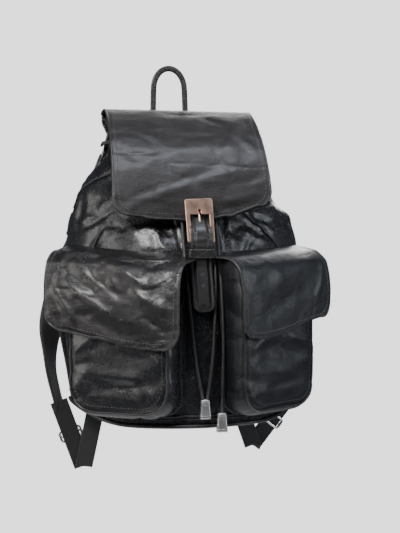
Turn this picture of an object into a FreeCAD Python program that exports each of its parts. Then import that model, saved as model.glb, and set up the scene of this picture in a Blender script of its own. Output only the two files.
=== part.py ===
# School backpack in soft leather: a drawstring pouch with a buckled top flap, two flapped front
# pockets, a hanging loop, and two webbing shoulder straps.
#
# Millimetres. The bag is laid out standing on its base: +X to its right as seen from the front,
# -Y to the front, +Z up, with the back panel's outer face at y = 0 and the base at z = 0.
# Every finished piece is then moved so that the origin is where a hook bears inside the loop.
import FreeCAD, Part
import math
import os
import Sketcher

Vector = FreeCAD.Vector
doc = FreeCAD.newDocument("school_backpack")

SIZES = {
    # pouch: one D-shaped section per level (height, half width, depth)
    "foot_half_width": 122, "foot_depth": 142,
    "belly_height": 60, "belly_half_width": 130, "belly_depth": 148,
    "waist_height": 190, "waist_half_width": 128, "waist_depth": 128,
    "shoulder_height": 250, "shoulder_half_width": 106, "shoulder_depth": 104,
    "rim_height": 322, "rim_half_width": 80, "rim_depth": 54,
    "side_depth": 30, "rim_side_depth": 14,
    "wall": 2.2, "lining_wall": 0.8, "back_wall": 4, "seam_angle": 50,
    # base
    "base_flat": 70, "base_wall": 3, "base_rise": 34, "base_reach": 142, "board_wall": 2,
    "piping": 2.4, "piping_height": 4,
    # mouth hem and drawstring
    "hem_height": 22, "hem_wall": 6, "lace_width": 4, "lace_wall": 3, "lace_play": 0.5,
    "lace_drop": 14, "cord_diameter": 3.4, "cord_end_length": 19,
    "end_top_half_width": 4.4, "end_top_half_depth": 2.6,
    "end_low_half_width": 5.6, "end_low_half_depth": 3.4, "end_corner": 0.8,
    "eyelet_radius": 4.6, "eyelet_hole": 2.7, "eyelet_wall": 1,
    # top flap
    "back_top": 343.6, "back_half_width": 86, "flap_half_width": 86, "fold_reach": 33,
    "flap_wall": 2.4, "flap_low": 222, "flap_front": 128, "flap_sag_radius": 162, "flap_corner": 18,
    "fold_gap": 0.6,
    # buckle strap, measured down and out from where it is sewn to the flap
    "strap_tilt": 12, "strap_top": 233, "strap_width": 22, "strap_wall": 3.4, "strap_length": 114,
    "strap_corner": 5, "keeper_drop": 54, "keeper_width": 9, "keeper_wall": 1.6,
    "frame_width": 30, "frame_length": 46, "frame_wall": 2.2, "plate_length": 16,
    "side_bar": 3.5, "low_bar": 4, "frame_out": 10.6, "notch_width": 4.2, "notch_length": 4.6,
    "pin_radius": 1.2, "pin_out": 6.4, "pin_drop": 4.4, "pin_length": 25,
    "prong_pin_radius": 0.9, "prong_out": 7.1, "prong_drop": 12.9, "prong_wall": 1.8,
    "prong_length": 11, "prong_lean": 2.8, "prong_eye_radius": 1.8, "prong_pin_length": 8.4,
    "tab_width": 20, "tab_wall": 1.6, "tab_reach": 2.6, "pin_fit": 0.05, "strap_hole_radius": 1.2,
    "prong_hole_drop": 22.5, "upper_hole_rise": 40, "lower_hole_rise": 24,
    "ear_width": 1.8, "ear_wall": 1.1, "small_ear_wall": 1,
    "snap_radius": 8, "snap_drop": 92, "snap_wall": 2.6, "snap_play": 0.4,
    # front pockets, each in a plane turned away from the front
    "facet_angle": 35, "pocket_inner": 66, "pocket_outer": 50, "pocket_wall": 2.2,
    "pocket_mouth": 174, "pocket_floor": 12, "pocket_mouth_reach": 157, "pocket_reach": 164,
    "pocket_flap_inner": 78, "pocket_flap_outer": 74, "pocket_flap_wall": 2.2,
    "pocket_flap_top": 189, "pocket_flap_low": 96, "pocket_flap_root": 135,
    "pocket_flap_reach": 171, "pocket_flap_corner": 16,
    "pocket_snap_height": 122, "pocket_snap_radius": 6,
    # hanging loop
    "hook_height": 396, "loop_offset": -6, "loop_half_width": 22, "loop_strip": 7,
    "loop_wall": 4, "loop_foot": 314, "patch_wall": 1.6,
    # shoulder straps and webbing
    "shoulder_strap_width": 28, "shoulder_strap_wall": 4, "webbing_width": 20,
    "webbing_wall": 1.6, "webbing_back": 6, "fold_space": 2.6, "slider_width": 27,
    "slider_length": 15, "slider_wall": 5.2, "slider_play": 0.4,
}


def fill_sheet():
    table = doc.addObject("Spreadsheet::Sheet", "sheet")
    for row, (alias, number) in enumerate(SIZES.items(), start=1):
        table.set("A%d" % row, alias.replace("_", " "))
        table.set("B%d" % row, str(number))
        table.setAlias("B%d" % row, alias)
    doc.recompute()
    return table


sheet = fill_sheet()


def cell(alias):
    return "sheet." + alias


def value(expression):
    """The number that an expression on the sheet gives now."""
    result = sheet.evalExpression(str(expression))
    return float(getattr(result, "Value", result))


# ---------------------------------------------------------------- drawing helpers

finished = []


def keep(piece, label, turn_axis=None, turn=None, at=("0", "0", "0")):
    """Finish a piece: label it and place it relative to the hook's point, with an optional turn."""
    piece.Label = label
    if turn_axis:
        piece.Placement.Rotation = FreeCAD.Rotation(turn_axis, value(turn))
        piece.setExpression(".Placement.Rotation.Angle", turn)
    hook = (cell("loop_offset"), cell("loop_wall") + " / 2", cell("hook_height"))
    for axis, place, origin in zip("xyz", at, hook):
        piece.setExpression(".Placement.Base." + axis, "(%s) - (%s)" % (place, origin))
    finished.append(piece)
    return piece


def new_body(name):
    return doc.addObject("PartDesign::Body", name)


def new_sketch(body, name, role="XY_Plane", offset="0"):
    sketch = body.newObject("Sketcher::SketchObject", name)
    base_plane = [item for item in body.Origin.OriginFeatures if item.Role == role][0]
    sketch.AttachmentSupport = [(base_plane, "")]
    sketch.MapMode = "FlatFace"
    if offset != "0":
        sketch.setExpression(".AttachmentOffset.Base.z", offset)
    return sketch


def arc_between(start, end, radius):
    """The shorter arc between two points; a positive radius bulges to the right of the way."""
    chord = end - start
    half = chord.Length / 2
    reach = max(abs(radius), half * 1.0001)
    side = Vector(chord.y, -chord.x, 0).normalize() * (1 if radius > 0 else -1)
    bulge = reach - math.sqrt(reach * reach - half * half)
    return Part.Arc(start, (start + end) / 2 + side * bulge, end)


def draw(sketch, corners, arcs=None):
    """Close an outline through corners given as expressions. arcs maps an edge to its radius."""
    arcs = arcs or {}
    points = [Vector(value(x), value(y), 0) for x, y in corners]
    count = len(points)
    for i in range(count):
        start, end = points[i], points[(i + 1) % count]
        if i in arcs:
            sketch.addGeometry(arc_between(start, end, value(arcs[i])), False)
        else:
            sketch.addGeometry(Part.LineSegment(start, end), False)
    ends = []
    for i in range(count):
        backwards = (sketch.getPoint(i, 1) - points[i]).Length > 1e-6
        ends.append((2, 1) if backwards else (1, 2))
    for i in range(count):
        following = (i + 1) % count
        sketch.addConstraint(
            Sketcher.Constraint("Coincident", i, ends[i][1], following, ends[following][0]))
    for i, (x, y) in enumerate(corners):
        for kind, expression, number in (("DistanceX", x, points[i].x), ("DistanceY", y, points[i].y)):
            row = sketch.addConstraint(Sketcher.Constraint(kind, -1, 1, i, ends[i][0], number))
            sketch.setExpression("Constraints[%d]" % row, expression)
    for i, radius in arcs.items():
        row = sketch.addConstraint(Sketcher.Constraint("Radius", i, abs(value(radius))))
        sketch.setExpression("Constraints[%d]" % row, "abs(%s)" % radius)
    return sketch


def circle_sketch(body, name, role, x, y, radius, offset="0"):
    sketch = new_sketch(body, name, role, offset)
    sketch.addGeometry(Part.Circle(Vector(value(x), value(y), 0), Vector(0, 0, 1), value(radius)))
    for kind, expression in (("DistanceX", x), ("DistanceY", y)):
        row = sketch.addConstraint(Sketcher.Constraint(kind, -1, 1, 0, 3, value(expression)))
        sketch.setExpression("Constraints[%d]" % row, expression)
    row = sketch.addConstraint(Sketcher.Constraint("Radius", 0, value(radius)))
    sketch.setExpression("Constraints[%d]" % row, radius)
    return sketch


def pad(body, sketch, length, both_ways=False, backwards=False):
    feature = body.newObject("PartDesign::Pad", sketch.Name + "_pad")
    feature.Profile = sketch
    feature.setExpression("Length", length)
    feature.SideType = "Symmetric" if both_ways else "One side"
    feature.Reversed = backwards
    return feature


def pocket(body, sketch, length, both_ways=False, backwards=False):
    """Cut a sketch through a body, and check that it took something away."""
    doc.recompute()
    before = body.Shape.Volume
    feature = body.newObject("PartDesign::Pocket", sketch.Name + "_cut")
    feature.Profile = sketch
    feature.setExpression("Length", length)
    feature.SideType = "Symmetric" if both_ways else "One side"
    feature.Reversed = backwards
    doc.recompute()
    if body.Shape.Volume > before - 1e-3:
        raise RuntimeError(sketch.Name + " cuts nothing")
    return feature


def slab(name, x, y, z, wide, deep, tall):
    box = doc.addObject("Part::Box", name)
    sizes = {"Length": wide, "Width": deep, "Height": tall,
             ".Placement.Base.x": x, ".Placement.Base.y": y, ".Placement.Base.z": z}
    for key, expression in sizes.items():
        box.setExpression(key, expression)
    return box


def keep_slab(label, x, y, z, wide, deep, tall):
    """A finished piece that is one plain block."""
    return keep(slab(label + "_box", "0", "0", "0", wide, deep, tall), label, at=(x, y, z))


def boolean(kind, name, base, tool):
    result = doc.addObject("Part::" + kind, name)
    result.Base = base
    result.Tool = tool
    return result


def cut(name, base, *tools):
    for number, tool in enumerate(tools):
        base = boolean("Cut", name if number == len(tools) - 1 else name + "_less", base, tool)
    return base


def common(name, base, tool):
    return boolean("Common", name, base, tool)


def round_edges(body, radius, wanted):
    """Fillet the edges of a body's last feature that wanted(edge) picks."""
    doc.recompute()
    last = body.Tip
    names = ["Edge%d" % (i + 1) for i, edge in enumerate(last.Shape.Edges) if wanted(edge)]
    feature = body.newObject("PartDesign::Fillet", last.Name + "_round")
    feature.Base = (last, names)
    feature.setExpression("Radius", radius)
    return feature


def round_low_corners(body, name, half_width, low, radius):
    """Cut both lower corners of a flap round, as seen from the front."""
    for number, side in enumerate(("-1", "1")):
        outer, inner = "%s * %s" % (side, half_width), "%s * (%s - %s)" % (side, half_width, radius)
        past, under = "%s * (%s + 1)" % (side, half_width), "%s - 1" % low
        high = "%s + %s" % (low, radius)
        sketch = new_sketch(body, "%s_corner%d" % (name, number), "XZ_Plane")
        draw(sketch, [(inner, under), (inner, low), (outer, high), (past, high), (past, under)],
             {1: "%s * %s" % (side, radius)})
        pocket(body, sketch, "2 * " + cell("base_reach") + " * 2", both_ways=True)


# ---------------------------------------------------------------- pouch forms

LEVELS = ("foot", "belly", "waist", "shoulder", "rim")


def pouch_form(name, grow, back):
    """A solid of the pouch's outer shape, grown outwards, with its flat back at y = -back."""
    body = new_body(name)
    sections = []
    for level in LEVELS:
        tall = "0" if level == "foot" else cell(level + "_height")
        side = cell("rim_side_depth") if level == "rim" else cell("side_depth")
        wide = "(%s + %s)" % (cell(level + "_half_width"), grow)
        deep = "(%s + %s)" % (cell(level + "_depth"), grow)
        sagitta = "(%s - %s)" % (deep, side)
        radius = "(%s * %s + %s * %s) / (2 * %s)" % (wide, wide, sagitta, sagitta, sagitta)
        sketch = new_sketch(body, name + "_" + level, offset=tall)
        draw(sketch, [("-" + wide, "-(%s)" % back), ("-" + wide, "-" + side), (wide, "-" + side),
                      (wide, "-(%s)" % back)], {1: radius})
        sections.append(sketch)
    loft = body.newObject("PartDesign::AdditiveLoft", name + "_loft")
    loft.Profile = sections[0]
    loft.Sections = sections[1:]
    loft.Ruled = False
    return body


def base_curve(name, low, high):
    """A sheet across the whole base, flat in the middle and rising towards both sides."""
    body = new_body(name)
    sketch = new_sketch(body, name + "_outline", "XZ_Plane")
    flat, reach, rise = cell("base_flat"), cell("base_reach"), cell("base_rise")
    run = "(%s - %s)" % (reach, flat)
    radius = "(%s * %s + %s * %s) / (2 * %s)" % (run, run, rise, rise, rise)
    corners = [("-" + reach, "%s + %s" % (rise, low)), ("-" + flat, low), (flat, low),
               (reach, "%s + %s" % (rise, low)), (reach, "%s + %s" % (rise, high)),
               (flat, high), ("-" + flat, high), ("-" + reach, "%s + %s" % (rise, high))]
    draw(sketch, corners, {0: radius, 2: radius, 4: "-(%s)" % radius, 6: "-(%s)" % radius})
    pad(body, sketch, "2 * " + cell("base_reach"), both_ways=True)
    return body


def below_base(name, level):
    """Everything under the base's curve raised by level."""
    body = new_body(name)
    sketch = new_sketch(body, name + "_outline", "XZ_Plane")
    flat, reach, rise = cell("base_flat"), cell("base_reach"), cell("base_rise")
    run = "(%s - %s)" % (reach, flat)
    radius = "(%s * %s + %s * %s) / (2 * %s)" % (run, run, rise, rise, rise)
    corners = [("-" + reach, "%s + %s" % (rise, level)), ("-" + flat, level), (flat, level),
               (reach, "%s + %s" % (rise, level)), (reach, "-" + reach), ("-" + reach, "-" + reach)]
    draw(sketch, corners, {0: radius, 2: radius})
    pad(body, sketch, "4 * " + cell("base_reach"), both_ways=True)
    return body


form = pouch_form("pouch_form", "0", "0")
space = pouch_form("pouch_space", "-" + cell("wall"), cell("back_wall"))
lined_space = pouch_form("lined_space", "-(%s + %s)" % (cell("wall"), cell("lining_wall")),
                         "%s + %s" % (cell("back_wall"), cell("lining_wall")))
doc.recompute()


# ---------------------------------------------------------------- pouch panels and base

def make_pouch():
    reach = cell("base_reach")
    back_slab = slab("back_slab", "-" + reach, "-" + cell("back_wall"), "0",
                     "2 * " + reach, cell("back_wall"), cell("rim_height"))
    under_wall = below_base("under_wall", cell("base_wall"))
    back_low = cut("back_low", common("back_whole", form, back_slab), under_wall)
    back_high = slab("back_high", "-" + cell("back_half_width"), "-" + cell("back_wall"),
                     cell("rim_height"), "2 * " + cell("back_half_width"), cell("back_wall"),
                     "%s - %s" % (cell("back_top"), cell("rim_height")))
    keep(boolean("Fuse", "back_panel_solid", back_low, back_high), "back_panel")
    shell = cut("wall_shell", form, back_slab, space, under_wall)
    wedge = new_body("front_wedge")
    sketch = new_sketch(wedge, "front_wedge_outline")
    far = "400 * sin(%s)" % cell("seam_angle")
    deep = "-(%s + 400 * cos(%s))" % (cell("back_wall"), cell("seam_angle"))
    draw(sketch, [("0", "-" + cell("back_wall")), ("-(%s)" % far, deep), (far, deep)])
    pad(wedge, sketch, "2 * " + cell("rim_height"), both_ways=True)
    keep(common("front_panel_solid", shell, wedge), "front_panel")
    sides = cut("side_shell", shell, wedge)
    for hand, start in (("left", "-2 * " + reach), ("right", "0")):
        half = slab(hand + "_half", start, "-2 * " + reach, "0", "2 * " + reach, "2 * " + reach,
                    cell("rim_height"))
        keep(common(hand + "_side_solid", sides, half), "side_panel_" + hand)


def make_base():
    sheet_curve = base_curve("base_sheet", "0", cell("base_wall"))
    keep(common("base_solid", form, sheet_curve), "base_panel")
    grown = pouch_form("piping_form", cell("piping"), "0")
    band = base_curve("piping_band", "0", cell("piping_height"))
    keep(common("piping_solid", cut("piping_ring", grown, form), band), "base_piping")
    board = slab("board_box", "-" + cell("base_flat"), "-2 * " + cell("base_reach"),
                 cell("base_wall"), "2 * " + cell("base_flat"), "2 * " + cell("base_reach"),
                 cell("board_wall"))
    keep(common("board_solid", lined_space, board), "base_board")


def make_lining():
    under_lining = below_base("under_lining", "%s + %s" % (cell("base_wall"), cell("board_wall")))
    keep(cut("lining_solid", space, lined_space, under_lining), "lining")


# ---------------------------------------------------------------- mouth hem, lace and eyelets

def ring_between(name, inner, outer, low, tall):
    """A band round the pouch between two growths, from the height low upwards."""
    big = pouch_form(name + "_big", outer, cell("back_wall"))
    small = pouch_form(name + "_small", inner, "0") if inner != "0" else form
    reach = cell("base_reach")
    zone = slab(name + "_zone", "-" + reach, "-2 * " + reach, low, "2 * " + reach,
                "2 * %s - %s" % (reach, cell("back_wall")), tall)
    return common(name + "_ring", cut(name + "_skin", big, small), zone)


def make_mouth():
    low = "%s - %s" % (cell("rim_height"), cell("hem_height"))
    lace_low = "%s - %s - %s / 2" % (cell("rim_height"), cell("lace_drop"), cell("lace_width"))
    inner = "(%s - %s) / 2" % (cell("hem_wall"), cell("lace_wall"))
    outer = "(%s + %s) / 2" % (cell("hem_wall"), cell("lace_wall"))
    play = cell("lace_play")
    band = ring_between("hem", "0", cell("hem_wall"), low, cell("hem_height"))
    tunnel = ring_between("tunnel", "%s - %s" % (inner, play), "%s + %s" % (outer, play),
                          "%s - %s" % (lace_low, play), "%s + 2 * %s" % (cell("lace_width"), play))
    lace = ring_between("lace", inner, outer, lace_low, cell("lace_width"))
    holes = eyelet_drills(inner)
    keep(cut("hem_solid", band, tunnel, holes), "mouth_band")
    keep(lace, "drawstring")
    make_eyelets()


CORD_EXITS = ("-15", "8", "19")


def exit_height():
    return "%s - %s" % (cell("rim_height"), cell("lace_drop"))


def lying_cylinder(name, x, z, front, radius, length):
    """A cylinder along Y whose front end is at y = -front."""
    tube = doc.addObject("Part::Cylinder", name)
    tube.Placement.Rotation = FreeCAD.Rotation(Vector(1, 0, 0), -90)
    for key, expression in {"Radius": radius, "Height": length, ".Placement.Base.x": x,
                            ".Placement.Base.y": "-(%s)" % front, ".Placement.Base.z": z}.items():
        tube.setExpression(key, expression)
    return tube


def exit_bar(name, x, radius):
    """A cylinder at one exit that reaches from inside the pouch to well in front of the hem."""
    return lying_cylinder(name, x, exit_height(), "2 * " + cell("rim_depth"), radius,
                          "1.5 * " + cell("rim_depth"))


def eyelet_drills(tunnel_floor):
    """The exits' holes, from the tunnel outwards."""
    drills = doc.addObject("Part::MultiFuse", "eyelet_drills")
    drills.Shapes = [exit_bar("drill%d" % number, x, cell("eyelet_hole"))
                     for number, x in enumerate(CORD_EXITS)]
    return cut("eyelet_holes", drills, pouch_form("tunnel_floor", tunnel_floor, "0"))


def make_eyelets():
    """Metal rings that lie on the hem's face round its exits."""
    rings = doc.addObject("Part::MultiFuse", "eyelet_rings")
    rings.Shapes = [cut("eyelet%d" % number, exit_bar("ring_bar%d" % number, x, cell("eyelet_radius")),
                        exit_bar("ring_bore%d" % number, x, cell("eyelet_hole")))
                    for number, x in enumerate(CORD_EXITS)]
    raised = pouch_form("eyelet_face", "%s + %s" % (cell("hem_wall"), cell("eyelet_wall")), "0")
    seat = pouch_form("eyelet_seat", cell("hem_wall"), cell("back_wall"))
    keep(cut("eyelet_solid", common("eyelet_shell", rings, raised), seat), "cord_eyelets")


# ---------------------------------------------------------------- cords

CORD_ROUTES = {
    # points in the bag's layout: out of the eyelet, down between pouch and flap, then hanging
    "left_tail": [(-15, -74, 308), (-15, -81, 304), (-15, -89.5, 286), (-15, -103, 264),
                  (-15.2, -113.5, 242), (-15.6, -121.8, 220), (-15.8, -133, 192), (-15.5, -144, 160),
                  (-12.5, -151, 124), (-10.5, -153.5, 88), (-6, -154, 54), (-0.9, -153.5, 30)],
    "middle_tail": [(8, -74, 308), (9.5, -81, 304), (12, -89.5, 286), (14, -103, 264),
                    (15, -113.5, 242), (15.8, -121.8, 220), (16, -133, 192), (15.6, -144, 160),
                    (13.5, -151, 124), (11, -153.5, 88), (7.5, -154, 54), (3.4, -153.5, 30)],
    "right_tail": [(19, -74, 308), (19.5, -81, 304), (20.2, -89.5, 286), (20.6, -103, 264),
                   (20.8, -113.5, 242), (21, -121.8, 220), (21, -133, 192), (20.5, -144, 160),
                   (20.8, -151, 124), (21, -153.5, 88), (20, -154.5, 54), (18.5, -154, 16)],
}


def rounded_route(points):
    """Straight runs joined by tangent arcs. Returns the edges and the arcs' radii."""
    points = [Vector(*point) for point in points]
    edges, radii, start = [], [], points[0]
    for before, corner, after in zip(points, points[1:], points[2:]):
        way_in = (corner - before).normalize()
        way_out = (after - corner).normalize()
        turn = way_in.getAngle(way_out)
        trim = 0.45 * min((corner - before).Length, (after - corner).Length)
        radii.append(trim / math.tan(turn / 2))
        begin, end = corner - way_in * trim, corner + way_out * trim
        bisector = (way_out - way_in).normalize()
        middle = corner + bisector * radii[-1] * (1 / math.cos(turn / 2) - 1)
        edges.append(Part.LineSegment(start, begin).toShape())
        edges.append(Part.Arc(begin, middle, end).toShape())
        start = end
    edges.append(Part.LineSegment(start, points[-1]).toShape())
    return edges, radii


def make_cords():
    radius = value(cell("cord_diameter")) / 2
    for name, points in CORD_ROUTES.items():
        edges, radii = rounded_route(points)
        path = Part.Wire(edges)
        first = (Vector(*points[1]) - Vector(*points[0])).normalize()
        ring = Part.Wire([Part.Circle(Vector(*points[0]), first, radius).toShape()])
        tube = path.makePipeShell([ring], True, False)
        wanted = math.pi * radius * radius * path.Length
        if abs(tube.Volume / wanted - 1) > 0.01:
            raise RuntimeError(name + " is not a true tube")
        print(name, "length %.1f" % path.Length, "radii", " ".join("%.0f" % r for r in radii))
        cord = doc.addObject("Part::Feature", name + "_tube")
        cord.Shape = tube
        keep(cord, "drawstring_" + name)


def make_cord_ends():
    """Flared metal ends; the left one holds two strands, the right one holds one."""
    for name, x, top, y in (("left", "1.25", "30", "-153.5"), ("right", "18.5", "16", "-154")):
        body = new_body("cord_end_%s_body" % name)
        low = "(%s) - %s" % (top, cell("cord_end_length"))
        upper = new_sketch(body, name + "_end_top", offset=top)
        lower = new_sketch(body, name + "_end_low", offset=low)
        for sketch, half_wide, half_deep in (
                (upper, cell("end_top_half_width"), cell("end_top_half_depth")),
                (lower, cell("end_low_half_width"), cell("end_low_half_depth"))):
            corners = [("%s + (%s) * %s" % (x, sx, half_wide), "%s + (%s) * %s" % (y, sy, half_deep))
                       for sx, sy in ((-1, -1), (1, -1), (1, 1), (-1, 1))]
            draw(sketch, corners)
        loft = body.newObject("PartDesign::AdditiveLoft", name + "_end_loft")
        loft.Profile = upper
        loft.Sections = [lower]
        round_edges(body, cell("end_corner"), lambda edge: abs(edge.tangentAt(edge.FirstParameter).z) > 0.7)
        keep(body, "cord_end_" + name)


# ---------------------------------------------------------------- top flap

def flap_corners():
    """The flap's side outline: outer start, outer end, inner end, inner start."""
    start = "-(%s + %s)" % (cell("fold_reach"), cell("fold_gap"))
    top = "%s + %s" % (cell("back_top"), cell("flap_wall"))
    return [(start, top), ("-" + cell("flap_front"), cell("flap_low")),
            ("-(%s - %s)" % (cell("flap_front"), cell("flap_wall")), cell("flap_low")),
            (start, "%s - %s" % (top, cell("flap_wall")))]


def make_top_flap():
    keep_slab("flap_fold_strip", "-" + cell("flap_half_width"), "-" + cell("fold_reach"),
              cell("back_top"), "2 * " + cell("flap_half_width"), cell("fold_reach"),
              cell("flap_wall"))
    body = new_body("top_flap_body")
    sketch = new_sketch(body, "top_flap_side", "YZ_Plane")
    radius = cell("flap_sag_radius")
    draw(sketch, flap_corners(),
         {0: radius, 2: "-(%s - %s)" % (radius, cell("flap_wall"))})
    pad(body, sketch, "2 * " + cell("flap_half_width"), both_ways=True)
    round_low_corners(body, "top_flap", cell("flap_half_width"), cell("flap_low"),
                      cell("flap_corner"))
    keep(body, "top_flap")


# ---------------------------------------------------------------- buckle strap
# Its pieces are drawn hanging straight down in x and z with y = -out, then tilted to lie on
# the bag's slope.

def strap_place():
    """Where the strap's sewn end meets the flap's outer face."""
    start, end = [Vector(0, value(y), value(z)) for y, z in flap_corners()[:2]]
    chord = end - start
    radius = value(cell("flap_sag_radius"))
    inward = Vector(0, -chord.z, chord.y).normalize() * -1
    centre = (start + end) / 2 + inward * math.sqrt(radius ** 2 - (chord.Length / 2) ** 2)
    if centre.y < start.y:
        centre = (start + end) - centre
    level = value(cell("strap_top"))
    front = centre.y - math.sqrt(radius ** 2 - (level - centre.z) ** 2)
    return ("0", str(front), cell("strap_top"))


def keep_tilted(piece, label):
    keep(piece, label, Vector(1, 0, 0), "-" + cell("strap_tilt"), strap_place())


def strap_path():
    """The strap's middle line as (out, down): behind the plate, over the low bar, then down."""
    half = "%s / 2" % cell("strap_wall")
    sewn = "(%s + 0.2)" % half
    over = "(%s + %s / 2 + 0.4 + %s)" % (cell("frame_out"), cell("frame_wall"), half)
    low = "(%s - 0.6)" % cell("frame_length")
    return [(sewn, "-2"), (sewn, "16"), (over, "(%s - 9)" % low), (over, "(%s + 3)" % low),
            ("(%s + 3.8)" % half, "(%s + 20)" % low), ("(%s + 3.8)" % half, cell("strap_length"))]


def make_strap():
    path = [(value(out), value(down)) for out, down in strap_path()]
    half = value(cell("strap_wall")) / 2
    outer, inner = [], []
    for i, (out, down) in enumerate(path):
        before = path[max(i - 1, 0)]
        after = path[min(i + 1, len(path) - 1)]
        ways = [math.atan2(q[0] - p[0], q[1] - p[1]) for p, q in ((before, (out, down)), ((out, down), after))
                if p != q]
        way = sum(ways) / len(ways)
        reach = half / math.cos((ways[0] - ways[-1]) / 2)
        step = (math.cos(way) * reach, -math.sin(way) * reach)
        middle = strap_path()[i]
        outer.append(("-(%s) - (%f)" % (middle[0], step[0]), "-(%s) - (%f)" % (middle[1], step[1])))
        inner.append(("-(%s) + (%f)" % (middle[0], step[0]), "-(%s) + (%f)" % (middle[1], step[1])))
    body = new_body("buckle_strap_body")
    sketch = new_sketch(body, "buckle_strap_side", "YZ_Plane")
    draw(sketch, outer + inner[::-1])
    pad(body, sketch, cell("strap_width"), both_ways=True)
    low = -value(cell("strap_length"))
    round_edges(body, cell("strap_corner"), lambda edge: (
        edge.BoundBox.XLength < 0.01 and edge.BoundBox.ZLength < 0.01 and edge.BoundBox.ZMax < low + 1))
    drops = (cell("prong_hole_drop"), "%s - %s" % (cell("strap_length"), cell("upper_hole_rise")),
             "%s - %s" % (cell("strap_length"), cell("lower_hole_rise")))
    for number, drop in enumerate(drops):
        hole = circle_sketch(body, "strap_hole%d" % number, "XZ_Plane", "0", "-(%s)" % drop,
                             cell("strap_hole_radius"))
        pocket(body, hole, "60", both_ways=True)
    keep_tilted(body, "buckle_strap")


def make_keeper():
    """A leather loop round the strap just under the buckle."""
    body = new_body("strap_keeper_body")
    middle = "(%s + %s / 2)" % (cell("keeper_drop"), cell("keeper_width"))
    hang = strap_path()
    slope = (value(hang[4][0]) - value(hang[3][0])) / (value(hang[4][1]) - value(hang[3][1]))
    out = "(%s + (%f) * (%s - %s))" % (hang[3][0], slope, middle, hang[3][1])
    hole_half = "(%s / 2 / cos(%f) + 0.4 + abs(%f) * %s / 2)" % (
        cell("strap_wall"), math.degrees(math.atan(slope)), slope, cell("keeper_width"))
    sketch = new_sketch(body, "keeper_outline", offset="-(%s)" % middle)
    wide = "(%s / 2 + 0.4)" % cell("strap_width")
    wall = cell("keeper_wall")
    draw(sketch, [("-(%s + %s)" % (wide, wall), "-%s - %s - %s" % (out, hole_half, wall)),
                  ("%s + %s" % (wide, wall), "-%s - %s - %s" % (out, hole_half, wall)),
                  ("%s + %s" % (wide, wall), "-%s + %s + %s" % (out, hole_half, wall)),
                  ("-(%s + %s)" % (wide, wall), "-%s + %s + %s" % (out, hole_half, wall))])
    pad(body, sketch, cell("keeper_width"), both_ways=True)
    hole = new_sketch(body, "keeper_hole", offset="-(%s)" % middle)
    draw(hole, [("-" + wide, "-%s - %s" % (out, hole_half)), (wide, "-%s - %s" % (out, hole_half)),
                (wide, "-%s + %s" % (out, hole_half)), ("-" + wide, "-%s + %s" % (out, hole_half))])
    pocket(body, hole, "2 * " + cell("keeper_width"), both_ways=True)
    keep_tilted(body, "strap_keeper")


def make_buckle_frame():
    body = new_body("buckle_frame_body")
    half = "(%s / 2)" % cell("frame_width")
    length = "(%s - 0.5)" % cell("frame_length")
    outline = new_sketch(body, "frame_outline", "XZ_Plane",
                         "%s - %s / 2" % (cell("frame_out"), cell("frame_wall")))
    draw(outline, [("-" + half, "0.5"), (half, "0.5"), (half, "-" + length), ("-" + half, "-" + length)])
    pad(body, outline, cell("frame_wall"))
    window = new_sketch(body, "frame_window", "XZ_Plane")
    inner = "(%s - %s)" % (half, cell("side_bar"))
    lip = "(%s - 0.5)" % cell("plate_length")
    low = "(%s - %s)" % (length, cell("low_bar"))
    slot = "(%s / 2)" % cell("notch_width")
    top = "(%s - %s)" % (lip, cell("notch_length"))
    draw(window, [("-" + inner, "-" + lip), ("-" + slot, "-" + lip), ("-" + slot, "-" + top),
                  (slot, "-" + top), (slot, "-" + lip), (inner, "-" + lip), (inner, "-" + low),
                  ("-" + inner, "-" + low)])
    pocket(body, window, "60", both_ways=True)
    back = "%s - %s / 2" % (cell("frame_out"), cell("frame_wall"))
    big_far = "(%s / 2 - 0.1)" % cell("pin_length")
    small_far = "(%s / 2)" % cell("prong_pin_length")
    ears = (("big_ear", "(%s - %s)" % (big_far, cell("ear_width")), big_far, cell("pin_out"),
             cell("pin_drop"), cell("pin_radius"), "%s + %s" % (cell("pin_radius"), cell("ear_wall"))),
            ("small_ear", "(%s - %s)" % (small_far, cell("ear_width")), small_far, cell("prong_out"),
             cell("prong_drop"), cell("prong_pin_radius"),
             "%s + %s" % (cell("prong_pin_radius"), cell("small_ear_wall"))))
    for name, near, far, out, down, bore, radius in ears:
        for side in (1, -1):
            ear = new_sketch(body, "%s_%d" % (name, side), "YZ_Plane",
                             near if side > 0 else "-(%s)" % near)
            low_out, high_down = "(%s - %s)" % (out, radius), "(%s + %s)" % (down, radius)
            draw(ear, [("-(%s)" % back, "-%s" % high_down), ("-(%s)" % low_out, "-%s" % high_down),
                       ("-(%s)" % low_out, "-(%s - %s)" % (down, radius)),
                       ("-(%s)" % back, "-(%s - %s)" % (down, radius))])
            pad(body, ear, "%s - %s" % (far, near), backwards=side < 0)
        bore_sketch = circle_sketch(body, name + "_bore", "YZ_Plane", "-(%s)" % out,
                                    "-(%s)" % down, bore)
        pocket(body, bore_sketch, "2 * (%s + 1)" % far, both_ways=True)
    keep_tilted(body, "buckle_frame")


def make_pins():
    for label, out, down, radius, length in (
            ("buckle_pin", cell("pin_out"), cell("pin_drop"), cell("pin_radius"), cell("pin_length")),
            ("prong_pin", cell("prong_out"), cell("prong_drop"), cell("prong_pin_radius"),
             cell("prong_pin_length"))):
        body = new_body(label + "_body")
        round_bar = circle_sketch(body, label + "_section", "YZ_Plane", "-(%s)" % out,
                                  "-(%s)" % down, radius)
        pad(body, round_bar, length, both_ways=True)
        keep_tilted(body, label)


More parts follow.
